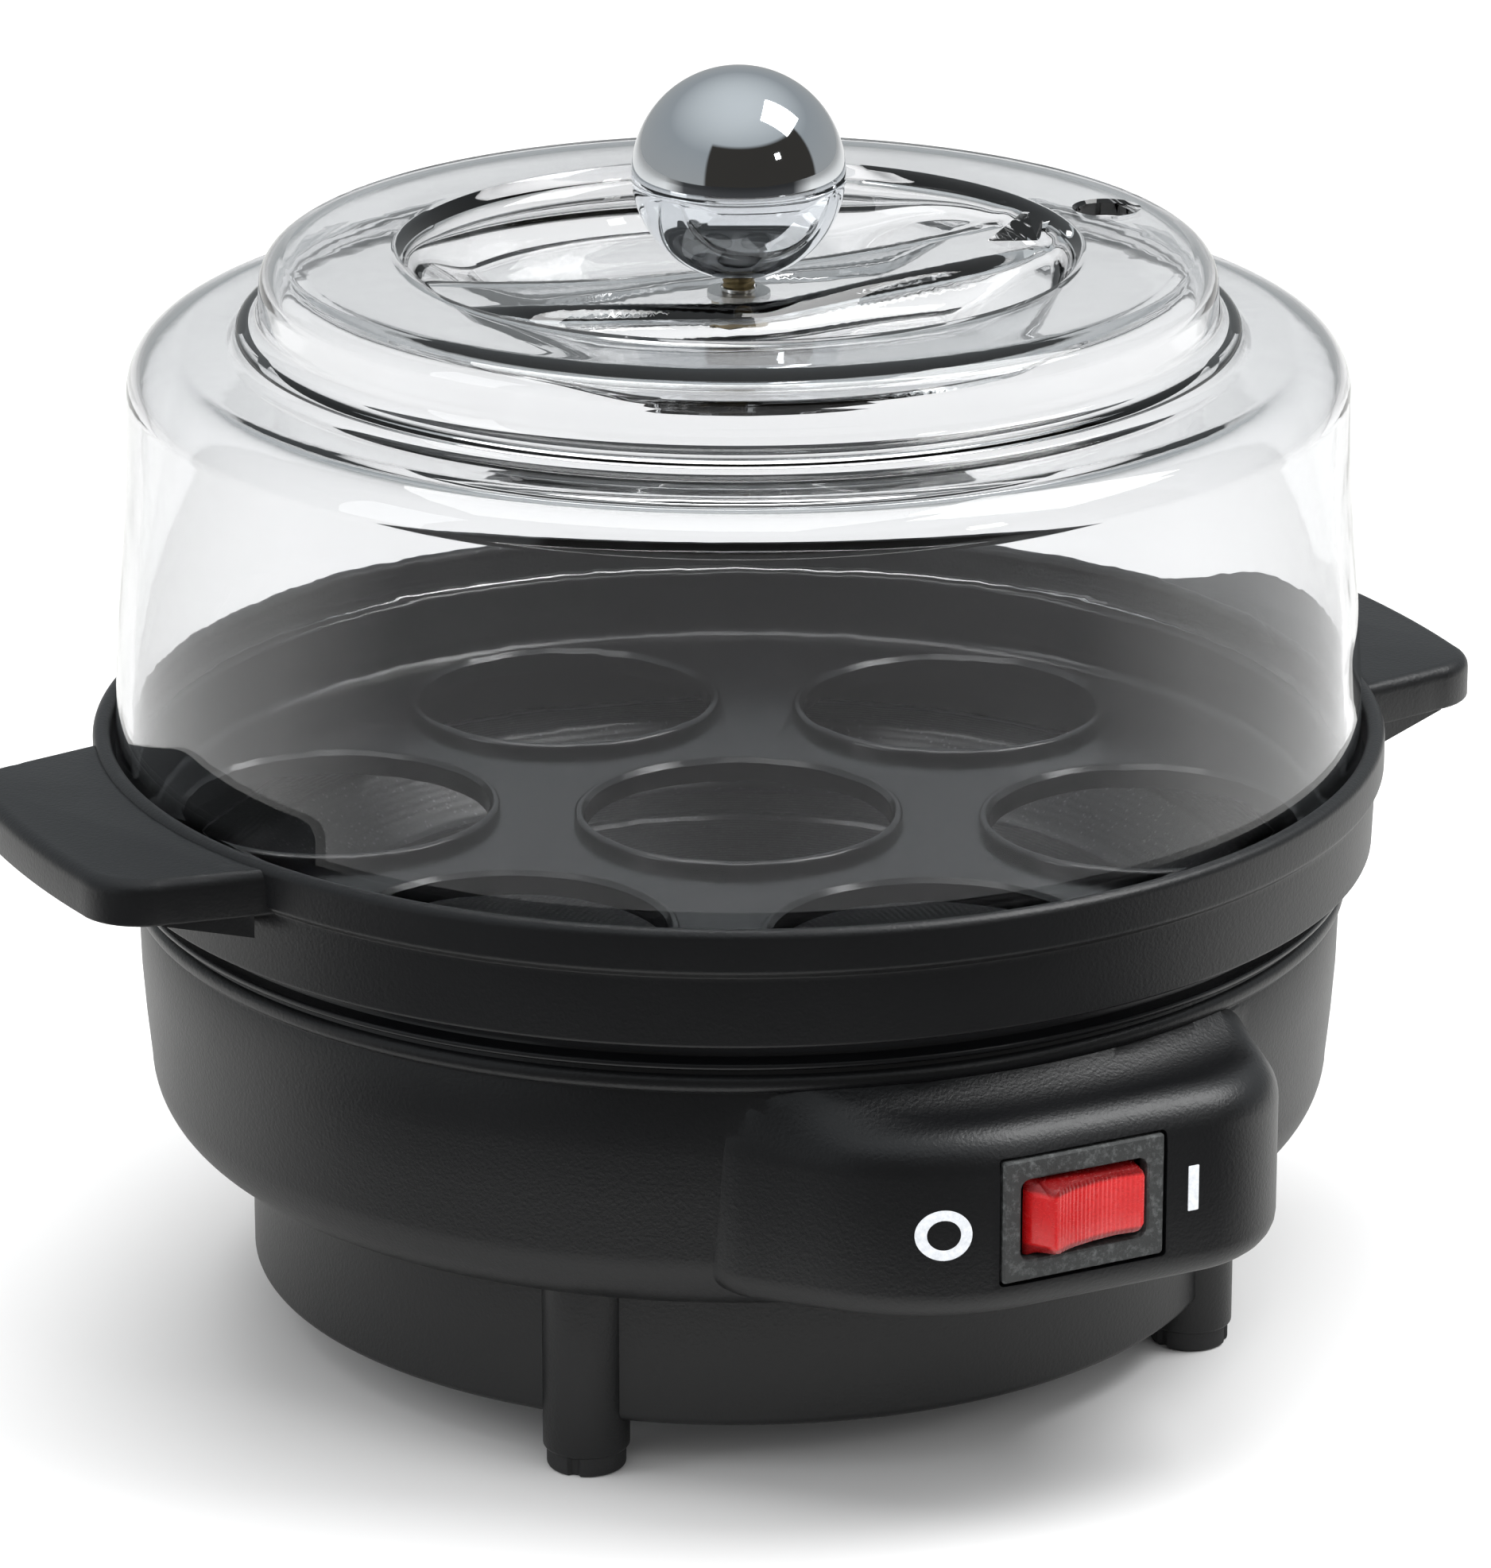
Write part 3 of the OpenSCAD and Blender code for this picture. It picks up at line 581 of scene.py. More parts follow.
def coated_plate():
    """Dark non-stick coating: fine speckle over turning marks."""
    f = Finish("coated_plate", Metallic=0.0)
    x, y, z = f.axes()
    radius = (x * x + y * y).root()
    speckle = f.cells(0.9)
    f.set("Base Color", f.blend((1 - speckle).above(0.72, 0.2), (0.012, 0.012, 0.013), (0.07, 0.07, 0.072)))
    f.set("Roughness", 0.3 + 0.15 * f.noise(2, detail=3))
    f.relief((radius * (2 * math.pi / 0.9)).sine() * 0.4 + f.noise(0.5), 0.03)
    return f.material


def rubber(name, dark, light, rough=0.75, depth=0.05):
    f = Finish(name)
    clouds = f.noise(3, detail=4)
    f.set("Base Color", f.blend(clouds, dark, light))
    f.set("Roughness", rough + 0.12 * clouds)
    f.relief(f.noise(0.25, detail=2), depth)
    return f.material


def ceramic(name, dark, light, rough=0.6):
    f = Finish(name)
    spots = f.cells(1.1)
    f.set("Base Color", f.blend(f.noise(2.5, detail=4), dark, light))
    f.set("Roughness", rough + 0.15 * spots)
    f.relief(f.noise(0.4, detail=3), 0.03)
    return f.material


def woven_sleeve():
    """Braided glass sleeve, a diagonal weave along X."""
    f = Finish("glass_sleeve")
    x, y, z = f.axes()
    weave = ((x * 5 + z * 6).sine() * (x * 5 - z * 6).sine() + 1) * 0.5
    f.set("Base Color", f.blend(weave, (0.5, 0.46, 0.36), (0.78, 0.75, 0.66)))
    f.set("Roughness", 0.7 + 0.2 * weave)
    f.relief(weave, 0.15)
    return f.material


def white_print():
    """Pad-printed white, slightly uneven and a little thin in places."""
    f = Finish("white_print")
    thin = f.noise(0.6, detail=4, rough=0.7)
    f.set("Base Color", f.blend(thin.above(0.3, 0.4), (0.62, 0.65, 0.68), (0.84, 0.86, 0.9)))
    f.set("Roughness", 0.5 + 0.12 * thin)
    f.relief(f.noise(0.3, detail=2), 0.015)
    return f.material


def red_plastic():
    """Translucent red: light passes a little way in, the top is polished with fine scratches. The pressed half is
    painted a lighter red as a painted highlight, and the bevels at top and bottom are painted a darker red as
    painted shade.
    """
    f = Finish("red_plastic", Transmission_Weight=0.18, IOR=1.49, Subsurface_Weight=0.35,
               Subsurface_Radius=(0.004, 0.0005, 0.0004), Coat_Roughness=0.12)
    x, y, z = f.axes()
    # mask of the pressed half towards +X: it gets a lighter red, a painted highlight, and a little more coat
    pressed = (x - SWITCH_X).above(-2.5, 6)
    scratch = f.noise(0.5, detail=4, rough=0.8, stretch=(1, 1, 6)).above(0.56, 0.1)
    # painted shade: the bevels at the top and bottom of the button are painted a dark red
    bevel_shade = ((z - SWITCH_Z) * (z - SWITCH_Z)).above(9.6, 2.5)
    body = f.blend(pressed, (0.6, 0.006, 0.008), (0.74, 0.03, 0.032))
    body = f.blend(bevel_shade, body, (0.24, 0.003, 0.004))
    f.set("Base Color", f.blend(scratch * 0.25, body, (0.8, 0.25, 0.25)))
    f.set("Coat Weight", 0.4 + 0.2 * pressed)
    f.set("Roughness", 0.22 + 0.2 * scratch + 0.1 * f.noise(1.2))
    f.relief(f.noise(0.6, detail=3), 0.03)
    return f.material


def lamp_glass():
    f = Finish("lamp_glass", Transmission_Weight=0.9, IOR=1.47)
    f.set("Base Color", f.blend(f.noise(1.5), (0.95, 0.7, 0.5), (0.98, 0.8, 0.62)))
    f.set("Roughness", 0.04 + 0.06 * f.noise(1))
    f.relief(f.noise(0.8), 0.01)
    return f.material


def lead_jacket(name, dark, light):
    """Soft cable jacket with a faint sheen and handling marks."""
    f = Finish(name)
    marks = f.noise(1.6, detail=4)
    f.set("Base Color", f.blend(marks, dark, light))
    f.set("Roughness", 0.42 + 0.15 * marks)
    f.relief(f.noise(0.4, detail=2), 0.02)
    return f.material


BLACK = black_plastic()
TRAY_BLACK = tray_plastic()
SWITCH_BLACK = switch_plastic()
CLEAR = clear_plastic()
CHROME = chrome()
BRASS = metal("brass", (0.16, 0.12, 0.06), (0.34, 0.26, 0.13), 0.38, depth=0.02)
ZINC = metal("zinc_steel", (0.42, 0.43, 0.44), (0.62, 0.62, 0.60), 0.35, depth=0.015)
SHEATH = metal("heater_sheath", (0.16, 0.145, 0.13), (0.34, 0.31, 0.28), 0.45, depth=0.03)
ALUMINISED = metal("aluminised_steel", (0.5, 0.5, 0.49), (0.68, 0.68, 0.67), 0.4, brush=(1, 12, 1))
ALUMINIUM = metal("cast_aluminium", (0.5, 0.5, 0.51), (0.74, 0.74, 0.75), 0.48, grain=0.9, depth=0.06)
COATED = coated_plate()
SILICONE = rubber("silicone", (0.24, 0.24, 0.25), (0.33, 0.33, 0.34), 0.6)
FOOT_RUBBER = rubber("foot_rubber", (0.011, 0.011, 0.012), (0.02, 0.02, 0.021), 0.55)
THERMOSTAT_BODY = ceramic("thermostat_body", (0.32, 0.22, 0.13), (0.5, 0.38, 0.26))
FUSE_BODY = ceramic("fuse_body", (0.7, 0.69, 0.65), (0.84, 0.83, 0.8))
SLEEVE = woven_sleeve()
PRINT = white_print()
RED = red_plastic()
LAMP = lamp_glass()
WHITE = ceramic("white_plastic", (0.66, 0.65, 0.62), (0.8, 0.8, 0.77), 0.35)
BROWN_LEAD = lead_jacket("brown_lead", (0.12, 0.05, 0.025), (0.2, 0.09, 0.05))
WHITE_LEAD = lead_jacket("white_lead", (0.6, 0.58, 0.54), (0.74, 0.72, 0.69))


# ---- Finishing a piece ----

def done(piece, finish, body, slot, *nodes, smooth=35):
    """Smooths, paints and places a finished piece: it rides on a body and stands for CAD nodes."""
    for face in piece.data.polygons:
        face.use_smooth = True
    piece.data.set_sharp_from_angle(angle=math.radians(smooth))
    piece.data.materials.clear()
    piece.data.materials.append(finish)
    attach(piece, body)
    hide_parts(*nodes)
    return piece


# ---- Base ----

def bowl_outer():
    """Outside of the bowl from the axis at the bottom to the axis at the top."""
    low_r = BASE_R - 1.3
    corner_r = low_r - 9.2
    corner_z = BOWL_Z + 9.2
    return ([(0, BOWL_Z), (corner_r, BOWL_Z)] + arc(corner_r, corner_z, 9.2, -87, 0, 18)
            + [(BASE_R - 0.72, corner_z + 6), (BASE_R - 0.3, corner_z + 12), (BASE_R - 0.08, BASE_TOP - 3.6)]
            + [(BASE_R - 0.25, BASE_TOP - 3.3), (BASE_R - 0.25, BASE_TOP - 3.1)]
            + arc(BASE_R - 0.6, BASE_TOP - 1.9, 1.2, -70, 70, 10)
            + [(BASE_R - 0.4, BASE_TOP), (0, BASE_TOP)])


def bowl_inner():
    """The space inside the bowl: narrow at the ledge that carries the plate's seal."""
    corner_r = BASE_R - 1.3 - 9.2
    corner_z = BOWL_Z + 9.2
    above = 3
    return ([(0, BOWL_Z + WALL), (FLOOR_IN, BOWL_Z + WALL)] + arc(corner_r, corner_z, 9.2 - WALL, -90, 0, 12)
            + [(BASE_R - WALL - 0.3, LEDGE_Z - LEDGE_T), (LEDGE_IN, LEDGE_Z - LEDGE_T), (LEDGE_IN, LEDGE_Z)]
            + [(LIP_IN, LEDGE_Z), (LIP_IN, BASE_TOP - 0.6), (LIP_IN + 0.6, BASE_TOP)]
            + [(LIP_IN + 0.6, BASE_TOP + above), (0, BASE_TOP + above)])


BULGE_HALF = 34.25
BULGE_LOW = 28.4
BULGE_TOP = 51.8
ROUND_OFF, ROUND_ON = 29.0, 16.0
BULGE_BACK = -(BASE_R - 12.2)
BULGE_FLARE, FLARE_FROM, FLARE_OVER = 2.4, 10, 9


def bulge_side(side, inset):
    """One rounded end of the bulge seen from above, from the front backwards."""
    full = ROUND_ON if side > 0 else ROUND_OFF
    r = max(full - inset, 1.2)
    x, y = BULGE_HALF - inset - r, FACE_Y + inset + r
    stop = 0.0 if y < BULGE_BACK else math.degrees(math.asin(max((BULGE_BACK - y) / r, -1)))
    points = arc(x, y, r, -90, stop, 22)
    last = max(y, BULGE_BACK) if y > BULGE_BACK else y
    points += [(points[-1][0], last + (BULGE_BACK - last) * i / 3) for i in range(1, 4)]
    return [(side * px, py) for px, py in points]


def bulge_plan(inset):
    """The bulge's outline seen from above, drawn in by inset, from the off side's back to the on side's."""
    off, on = bulge_side(-1, inset), bulge_side(1, inset)
    off = [(x - BULGE_FLARE * min(max((y - FACE_Y - FLARE_FROM) / FLARE_OVER, 0), 1) ** 2, y) for x, y in off]
    steps = 18
    front = [(off[0][0] + (on[0][0] - off[0][0]) * i / steps, FACE_Y + inset) for i in range(1, steps)]
    return off[::-1] + front + on


def bulge_front(x):
    """Y of the bulge's front face above x."""
    centre = ROUND_OFF - BULGE_HALF
    if x > centre:
        return FACE_Y
    return FACE_Y + ROUND_OFF - math.sqrt(ROUND_OFF ** 2 - (x - centre) ** 2)


def bulge():
    """The switch housing: rounded below, a broad soft edge on top, a hollow curve up to the bowl's lip."""
    under_r, edge_r = 4.0, 5.5
    rise, reach = 3.3, 6.5
    rings = []
    for i in range(7):
        a = math.radians(90 * i / 6)
        inset, z = under_r * (1 - math.sin(a)), BULGE_LOW + under_r * (1 - math.cos(a))
        rings.append([(x, y, z) for x, y in bulge_plan(inset)])

    def hollow(x, y):
        gap = max(math.hypot(x, y) - BASE_R, 0)
        return rise * (1 - min(gap / reach, 1)) ** 2

    for i in range(13):
        a = math.radians(90 * i / 12)
        inset, z = edge_r * (1 - math.cos(a)), BULGE_TOP - edge_r * (1 - math.sin(a))
        edge = bulge_plan(inset)
        rings.append([(x, y, z + hollow(x, y) * math.sin(a)) for x, y in edge])
    inner_r = BASE_R - 3
    for t in (0.06, 0.14, 0.24, 0.34, 0.44, 0.54, 0.64, 0.74, 0.84, 0.92, 1.0):
        ring = []
        for x, y in edge:
            near = min(inner_r / math.hypot(x, y), 1)
            px, py = x * (1 + (near - 1) * t), y * (1 + (near - 1) * t)
            ring.append((px, py, BULGE_TOP + hollow(px, py)))
        rings.append(ring)
    return loft("bulge", rings)


def prism_y(name, outline, y0, y1, x=SWITCH_X, z=SWITCH_Z):
    """A block with the given outline in x and z, between two faces in y."""
    return loft(name, [[(x + px, y, z + pz) for px, pz in outline] for y in (y0, y1)])


def make_base():
    shell = turn("base_shell", bowl_outer(), BLACK)
    merged(shell, bulge(), "UNION")
    room = turn("bowl_room", bowl_inner(), None)
    merged(shell, room, "DIFFERENCE")
    hollow = loft("bulge_room", [[(x, y, z) for x, y in bulge_plan(WALL)] for z in (BULGE_LOW + WALL, 49)])
    merged(shell, hollow, "DIFFERENCE")
    low, high = BOWL_Z - 2, BOWL_Z + 4
    floor_hole = turn("floor_hole", [(0, low), (FLOOR_IN, low), (FLOOR_IN, high), (0, high)])
    merged(shell, floor_hole, "DIFFERENCE")
    gap, before = 0.35, FACE_Y - 2
    flange = rounded_box(FLANGE_W + 2 * gap, FLANGE_H + 2 * gap, 0.6)
    merged(shell, prism_y("flange_seat", flange, before, FACE_Y + 1.4), "DIFFERENCE")
    body = rounded_box(FLANGE_W - 1.8, FLANGE_H - 1.7, 0.6)
    merged(shell, prism_y("switch_hole", body, before, FACE_Y + WALL + 2), "DIFFERENCE")
    done(shell, BLACK, "base", "black_plastic", "base_housing", smooth=32)


def make_marks():
    """Printed signs beside the switch: a ring for off and a bar for on."""
    proud = 0.12
    outer, inner, soft = 3.1, 1.85, 0.05
    line = [(inner, -0.2), (inner, proud - soft), (inner + soft, proud), (outer - soft, proud),
            (outer, proud - soft), (outer, -0.2)]
    ring = turn("off_mark", line, PRINT, steps=96)
    moved(ring, at(SWITCH_X - 17.3, 0, SWITCH_Z - 0.8) @ FACING_FRONT)
    for point in ring.data.vertices:
        point.co.y += bulge_front(point.co.x / MM) * MM
    levels = [(0.0, 0.2), (0.0, -proud + soft), (soft, -proud)]
    bar = loft("on_mark", [[(SWITCH_X + 14.5 + x, FACE_Y + dy, SWITCH_Z + z)
                            for x, z in rounded_box(1.4 - 2 * inset, 5.6 - 2 * inset, 0.12)]
                           for inset, dy in levels])
    marks = joined("power_signs", [ring, bar])
    done(marks, PRINT, "base", "white_print", "power_marks")


def make_cover():
    """The skirt under the bowl with its floor, vent slots, screw wells and four foot posts."""
    soft = 1.2
    inside, floor = COVER_R - WALL, COVER_Z + WALL
    outline = ([(0, COVER_Z), (COVER_R - soft, COVER_Z)] + arc(COVER_R - soft, COVER_Z + soft, soft, -80, 0, 6)
               + [(COVER_R, BOWL_Z - 0.3), (COVER_R - 0.3, BOWL_Z), (inside, BOWL_Z)]
               + [(inside, floor + 0.8), (inside - 0.8, floor), (0, floor)])
    cover = turn("bottom_cover_shell", outline, BLACK)
    post = turn("foot_post", [(0, TIP_H)] + arc(FOOT_R - 0.5, TIP_H + 0.5, 0.5, -90, 0, 4)
                + [(FOOT_R, BOWL_Z - 0.02), (0, BOWL_Z - 0.02)], BLACK, steps=64)
    merged(cover, round_the_axis(post, 4, FOOT_AT, 45, BLACK), "UNION")
    boss = turn("screw_boss", [(0, COVER_Z + 0.5), (5, COVER_Z + 0.5), (5, 12), (0, 12)], BLACK, steps=48)
    merged(cover, round_the_axis(boss, 3, FIX_R, 30, BLACK), "UNION")
    well = turn("screw_well", [(0, COVER_Z - 2), (3.9, COVER_Z - 2), (3.5, COVER_Z + 0.3), (3.5, 10), (1.7, 10),
                               (1.7, 14), (0, 14)], BLACK, steps=48)
    merged(cover, round_the_axis(well, 3, FIX_R, 30, BLACK), "DIFFERENCE")
    slots = []
    for i in range(-3, 4):
        plan = rounded_box(2.5, 28, 1.24)
        slots.append(loft("slot", [[(7 * i + x, y, z) for x, y in plan]
                                   for z in (COVER_Z - 2, COVER_Z + WALL + 2)]))
    merged(cover, joined("vent_slots", slots), "DIFFERENCE")
    pad = turn("gland_pad", [(0, -5)] + [(7, -5), (7, 0.7), (6.5, 1.2), (0, 1.2)], BLACK, steps=64)
    merged(cover, moved(pad, at(0, COVER_R, GLAND_Z) @ FACING_FRONT.inverted()), "UNION")
    bore = turn("gland_bore", [(0, -12), (4.25, -12), (4.25, 6), (0, 6)], BLACK, steps=64)
    merged(cover, moved(bore, at(0, COVER_R, GLAND_Z) @ FACING_FRONT.inverted()), "DIFFERENCE")
    done(cover, BLACK, "base", "black_plastic", "bottom_cover", smooth=32)


def make_tips():
    """Rubber tips pressed into the foot posts, with a parting notch in each rim."""
    soft, notch = 0.55, 0.5
    steps = 72
    rings = []
    outline = [(0.01, TIP_H + 5.5), (2.4, TIP_H + 5.5), (2.4, TIP_H), (TIP_R, TIP_H)]
    outline += [(TIP_R, TIP_H - 0.4), (TIP_R, soft)] + arc(TIP_R - soft, soft, soft, 0, -90, 5) + [(0.01, 0)]
    for radius, z in outline:
        ring = []
        for k in range(steps):
            a = 2 * math.pi * k / steps
            near = min(abs(math.remainder(a - c, 2 * math.pi)) for c in (0.0, 2.1, 4.2))
            cut = notch if radius > 4 and z < TIP_H and near < 0.16 else 0
            ring.append(((radius - cut) * math.cos(a), (radius - cut) * math.sin(a), z))
        rings.append(ring)
    tips = round_the_axis(loft("rubber_tips", rings), 4, FOOT_AT, 45, FOOT_RUBBER)
    done(tips, FOOT_RUBBER, "base", "foot_rubber", "foot_tips", smooth=40)


def make_screws():
    """Pan-head screws with cross recesses that hold the cover."""
    low, high = corners("cover_screws")
    head_r, head_h, shank = 3.1, 2.1, 1.4
    outline = [(0, low.z)] + [(1.9, low.z + 0.05)] + arc(head_r - 1.3, low.z + 1.3, 1.3, -75, 0, 6)
    outline += [(head_r, low.z + head_h), (shank, low.z + head_h)]
    z = low.z + head_h
    while z < high.z - 1.4:
        outline += [(shank, z + 0.1), (shank - 0.22, z + 0.4), (shank, z + 0.7)]
        z += 0.7
    outline += [(0.4, high.z), (0, high.z)]
    screw = turn("cover_screw_set", outline, ZINC, steps=40)
    arms = [loft("arm", [[(x, y, h) for x, y in rounded_box(w, d, 0.1, 2)] for h in (low.z - 1, low.z + 1.3)])
            for w, d in ((3.4, 0.8), (0.8, 3.4))]
    for arm in arms:
        merged(screw, arm, "DIFFERENCE")
    done(round_the_axis(screw, 3, FIX_R, 30, ZINC), ZINC, "base", "steel", "cover_screws")


def make_gland():
    """Flanged bush where the mains cord goes in."""
    bore, neck = 3.3, 4.2
    length = gland_high.y - gland_low.y
    outline = ([(bore + 0.8, 0)] + arc(5.6 - 0.7, 0.7, 0.7, -90, 0, 5)
               + [(5.6, 2), (neck, 2), (neck, length - 2.2)]
               + [(5.2, length - 2.2), (5.2, length - 1.2), (neck, length), (bore, length)]
               + arc(bore + 0.8, 0.8, 0.8, 180, 260, 5))
    gland = turn("cord_bush", outline, BLACK, steps=72)
    done(moved(gland, at(0, gland_high.y, GLAND_Z) @ FACING_FRONT), BLACK, "base", "black_plastic", "cord_gland")


def make_plate():
    """Heating plate: a shallow coated dish with soft corners and a raised bead."""
    low, high = corners("heating_plate")
    under, top = low.z, high.z
    floor = top - 7.5
    outline = [(0, under), (BASE_R - 17.8, under), (BASE_R - 11.2, top - 1.3), (high.x, top - 1.3), (high.x, top)]
    outline += arc(BASE_R - 10.2, top - 1.4, 1.4, 90, 160, 5)
    outline += arc(BASE_R - 20.4, floor + 3.2, 3.2, -30, -90, 6)
    outline += [(46.4, floor), (46, floor + 0.35), (45, floor + 0.45), (44, floor + 0.35), (43.6, floor)]
    outline += [(0, floor)]
    plate = turn("heating_dish", outline, COATED)
    done(plate, COATED, "base", "coated_plate", "heating_plate", smooth=40)


# ---- Switch ----

SLOT_W, SLOT_H = FLANGE_W - 4.7, FLANGE_H - 5.2


def make_bezel():
    """The switch body: a flange with a softened window, and the box behind it."""
    back = SWITCH_BACK
    stages = [(FLANGE_W - 2, FLANGE_H - 1.9, 0.5, back), (FLANGE_W - 2, FLANGE_H - 1.9, 0.5, FACE_Y + 1.4),
              (FLANGE_W, FLANGE_H, 0.5, FACE_Y + 1.4), (FLANGE_W, FLANGE_H, 0.5, FACE_Y + 0.25),
              (FLANGE_W - 0.5, FLANGE_H - 0.5, 0.3, FACE_Y - 0.05),
              (SLOT_W + 0.7, SLOT_H + 0.7, 1.4, FACE_Y - 0.05), (SLOT_W + 0.2, SLOT_H + 0.2, 1.2, FACE_Y + 0.1),
              (SLOT_W, SLOT_H, 1.1, FACE_Y + 0.4), (SLOT_W, SLOT_H, 1.1, FACE_Y + 1.6),
              (FLANGE_W - 3.8, SLOT_H, 0.9, FACE_Y + 1.9), (FLANGE_W - 3.8, SLOT_H, 0.9, back - 1.5)]
    rings = [[(SWITCH_X + x, y, SWITCH_Z + z) for x, z in rounded_box(w, h, r)] for w, h, r, y in stages]
    bezel = loft("switch_bezel", rings)
    done(bezel, SWITCH_BLACK, "base", "switch_plastic", "switch_frame", smooth=30)


ROCKER_HALF, ROCKER_OUT, ROCKER_TURN = 6.7, 7.3, math.radians(9.2)


def rocker_front(x):
    """Depth of the rocker's front about its pin: two shallow hollows that meet in a valley."""
    straight = -ROCKER_OUT + (ROCKER_HALF - abs(x)) * math.tan(ROCKER_TURN)
    hollow = 0.28 * math.sin(math.pi * min(abs(x) / ROCKER_HALF, 1)) ** 2
    return straight + hollow


def make_rocker():
    """The red button, drawn in sections along x about its pin and turned to its pressed side."""
    half, heel, base_half_h = ROCKER_HALF, 7.9, SLOT_H / 2 - 0.2
    chamfer, heel_out = 0.42, 4.3
    rib_pitch, rib_depth = 0.62, 0.045
    stations = np.concatenate([np.linspace(-heel, -half, 9), np.linspace(-half, half, 150)[1:],
                               np.linspace(half, heel, 9)[1:]])
    sections = []
    for x in stations:
        if abs(x) <= half:
            front = rocker_front(x)
            edge = min(1.0, (half - abs(x)) / 0.45)
            front += chamfer * (1 - math.sqrt(max(0.0, 1 - (1 - edge) ** 2)))
            ribbed = smoothstep((half - abs(x) - 0.5) / 0.5) * rib_depth * math.cos(2 * math.pi * x / rib_pitch)
        else:
            front = -ROCKER_OUT + chamfer
            front += (abs(x) - half) / (heel - half) * (ROCKER_OUT - chamfer - heel_out)
            ribbed = 0.0
        back = 3.2 if abs(x) < 3 else 3.2 - (abs(x) - 3) / (heel - 3) * 6.0
        back = max(back, front + 0.6)
        low = -3.4
        over = min(max(abs(x) - (half - 1.3), 0), 1.3)
        top_half_h = SLOT_H / 2 - 0.75 - (1.3 - math.sqrt(max(1.69 - over * over, 0))) * 0.8
        lip = min(front + 0.9, back - 0.3)
        shoulder = min(max(low, front + 1.4), back - 0.1)
        profile = [(front + ribbed, -top_half_h + 0.7), (front + 0.25, -top_half_h + 0.2),
                   (lip, -top_half_h - 0.1), (shoulder, -base_half_h), (back, -base_half_h), (back, base_half_h), (shoulder, base_half_h),
                   (lip, top_half_h + 0.1), (front + 0.25, top_half_h - 0.2), (front + ribbed, top_half_h - 0.7),
                   (front + ribbed, 0.0)]
        sections.append([(x, y, z) for y, z in profile])
    rocker = loft("rocker_cap", sections)
    pin = turn("rocker_pin", [(0, -6.35), (1.1, -6.35), (1.1, 6.35), (0, 6.35)], RED, steps=40)
    merged(rocker, pin, "UNION")
    pivot_y = FACE_Y + 5.5
    moved(rocker, at(SWITCH_X, pivot_y, SWITCH_Z) @ about_z(ROCKER_TURN))
    done(rocker, RED, "rocker", "red_plastic", "rocker_button", smooth=30)


# ---- Tray ----

def tray_outline():
    spigot_r = LIP_IN - 0.4
    spigot_z = LEDGE_Z + 2.6
    neck_r = BASE_R + 1
    bead_r = (RIM_R - RIM_IN) / 2
    inside = BAND_R - 3.9
    under = TRAY_FLOOR - FLOOR_T
    return ([(0, under), (spigot_r - 2.4, under), (spigot_r - 1.8, TRAY_FLOOR - 2.2)]
            + [(spigot_r - 1.8, spigot_z + 0.4), (spigot_r - 1.4, spigot_z), (spigot_r - 0.4, spigot_z)]
            + [(spigot_r, spigot_z + 0.4), (spigot_r, BASE_TOP + 0.1), (neck_r - 0.3, BASE_TOP + 0.1)]
            + arc(neck_r - 0.45, BASE_TOP + 0.55, 0.45, -80, 80, 8)
            + [(neck_r - 1.2, BASE_TOP + 1.5), (neck_r - 1.4, BASE_TOP + 2.2), (neck_r - 1.2, BAND_Z - 0.4)]
            + [(neck_r - 0.7, BAND_Z)] + arc(BAND_R - 0.55, BAND_Z + 0.55, 0.55, -90, 0, 6)
            + [(BAND_R + 0.28, RIM_Z - 6.5)] + arc(BAND_R + 0.62, RIM_Z - 6.05, 0.35, 190, 110, 4)[1:]
            + arc(RIM_R - 0.9, RIM_Z - 4.6, 0.9, -65, 0, 6)
            + arc(RIM_R - bead_r, RIM_Z - bead_r, bead_r, 0, 180, 14)
            + [(RIM_IN, SEAT_Z + 0.6), (RIM_IN - 0.6, SEAT_Z), (inside + 0.7, SEAT_Z)]
            + arc(inside + 0.7, SEAT_Z - 0.7, 0.7, 90, 180, 4)
            + arc(inside - 1.5, TRAY_FLOOR + 1.5, 1.5, 0, -90, 6) + [(0, TRAY_FLOOR)])


HANDLE_ROOT, HANDLE_TIP, HANDLE_CORNER = 26.3, 24.0, 8.0


def handle_ring(inset, z, root_r):
    """Outline of a handle seen from above, drawn in by inset, with a slightly bowed outer end."""
    root, tip, corner = HANDLE_ROOT - inset, HANDLE_TIP - inset, HANDLE_CORNER - inset
    reach = HANDLE_REACH - inset
    bow = 0.9
    root_x = math.sqrt(root_r ** 2 - root ** 2) + inset
    plan = [(root_x + (reach - corner - root_x) * i / 6, -root + (root - tip) * i / 6) for i in range(6)]
    plan += arc(reach - bow - corner, -tip + corner, corner, -90, 0, 10)
    plan += [(reach - bow * (k / 6) ** 2, k / 6 * (tip - corner)) for k in range(-5, 6)]
    plan += arc(reach - bow - corner, tip - corner, corner, 0, 90, 10)
    plan += [(root_x + (reach - corner - root_x) * i / 6, root - (root - tip) * i / 6) for i in range(5, -1, -1)]
    spread = math.asin(root / root_r)
    angles = [spread * k / 8 for k in range(7, -8, -1)]
    plan += [(root_r * math.cos(a) + inset, root_r * math.sin(a)) for a in angles]
    return [(x, y, z) for x, y in plan]


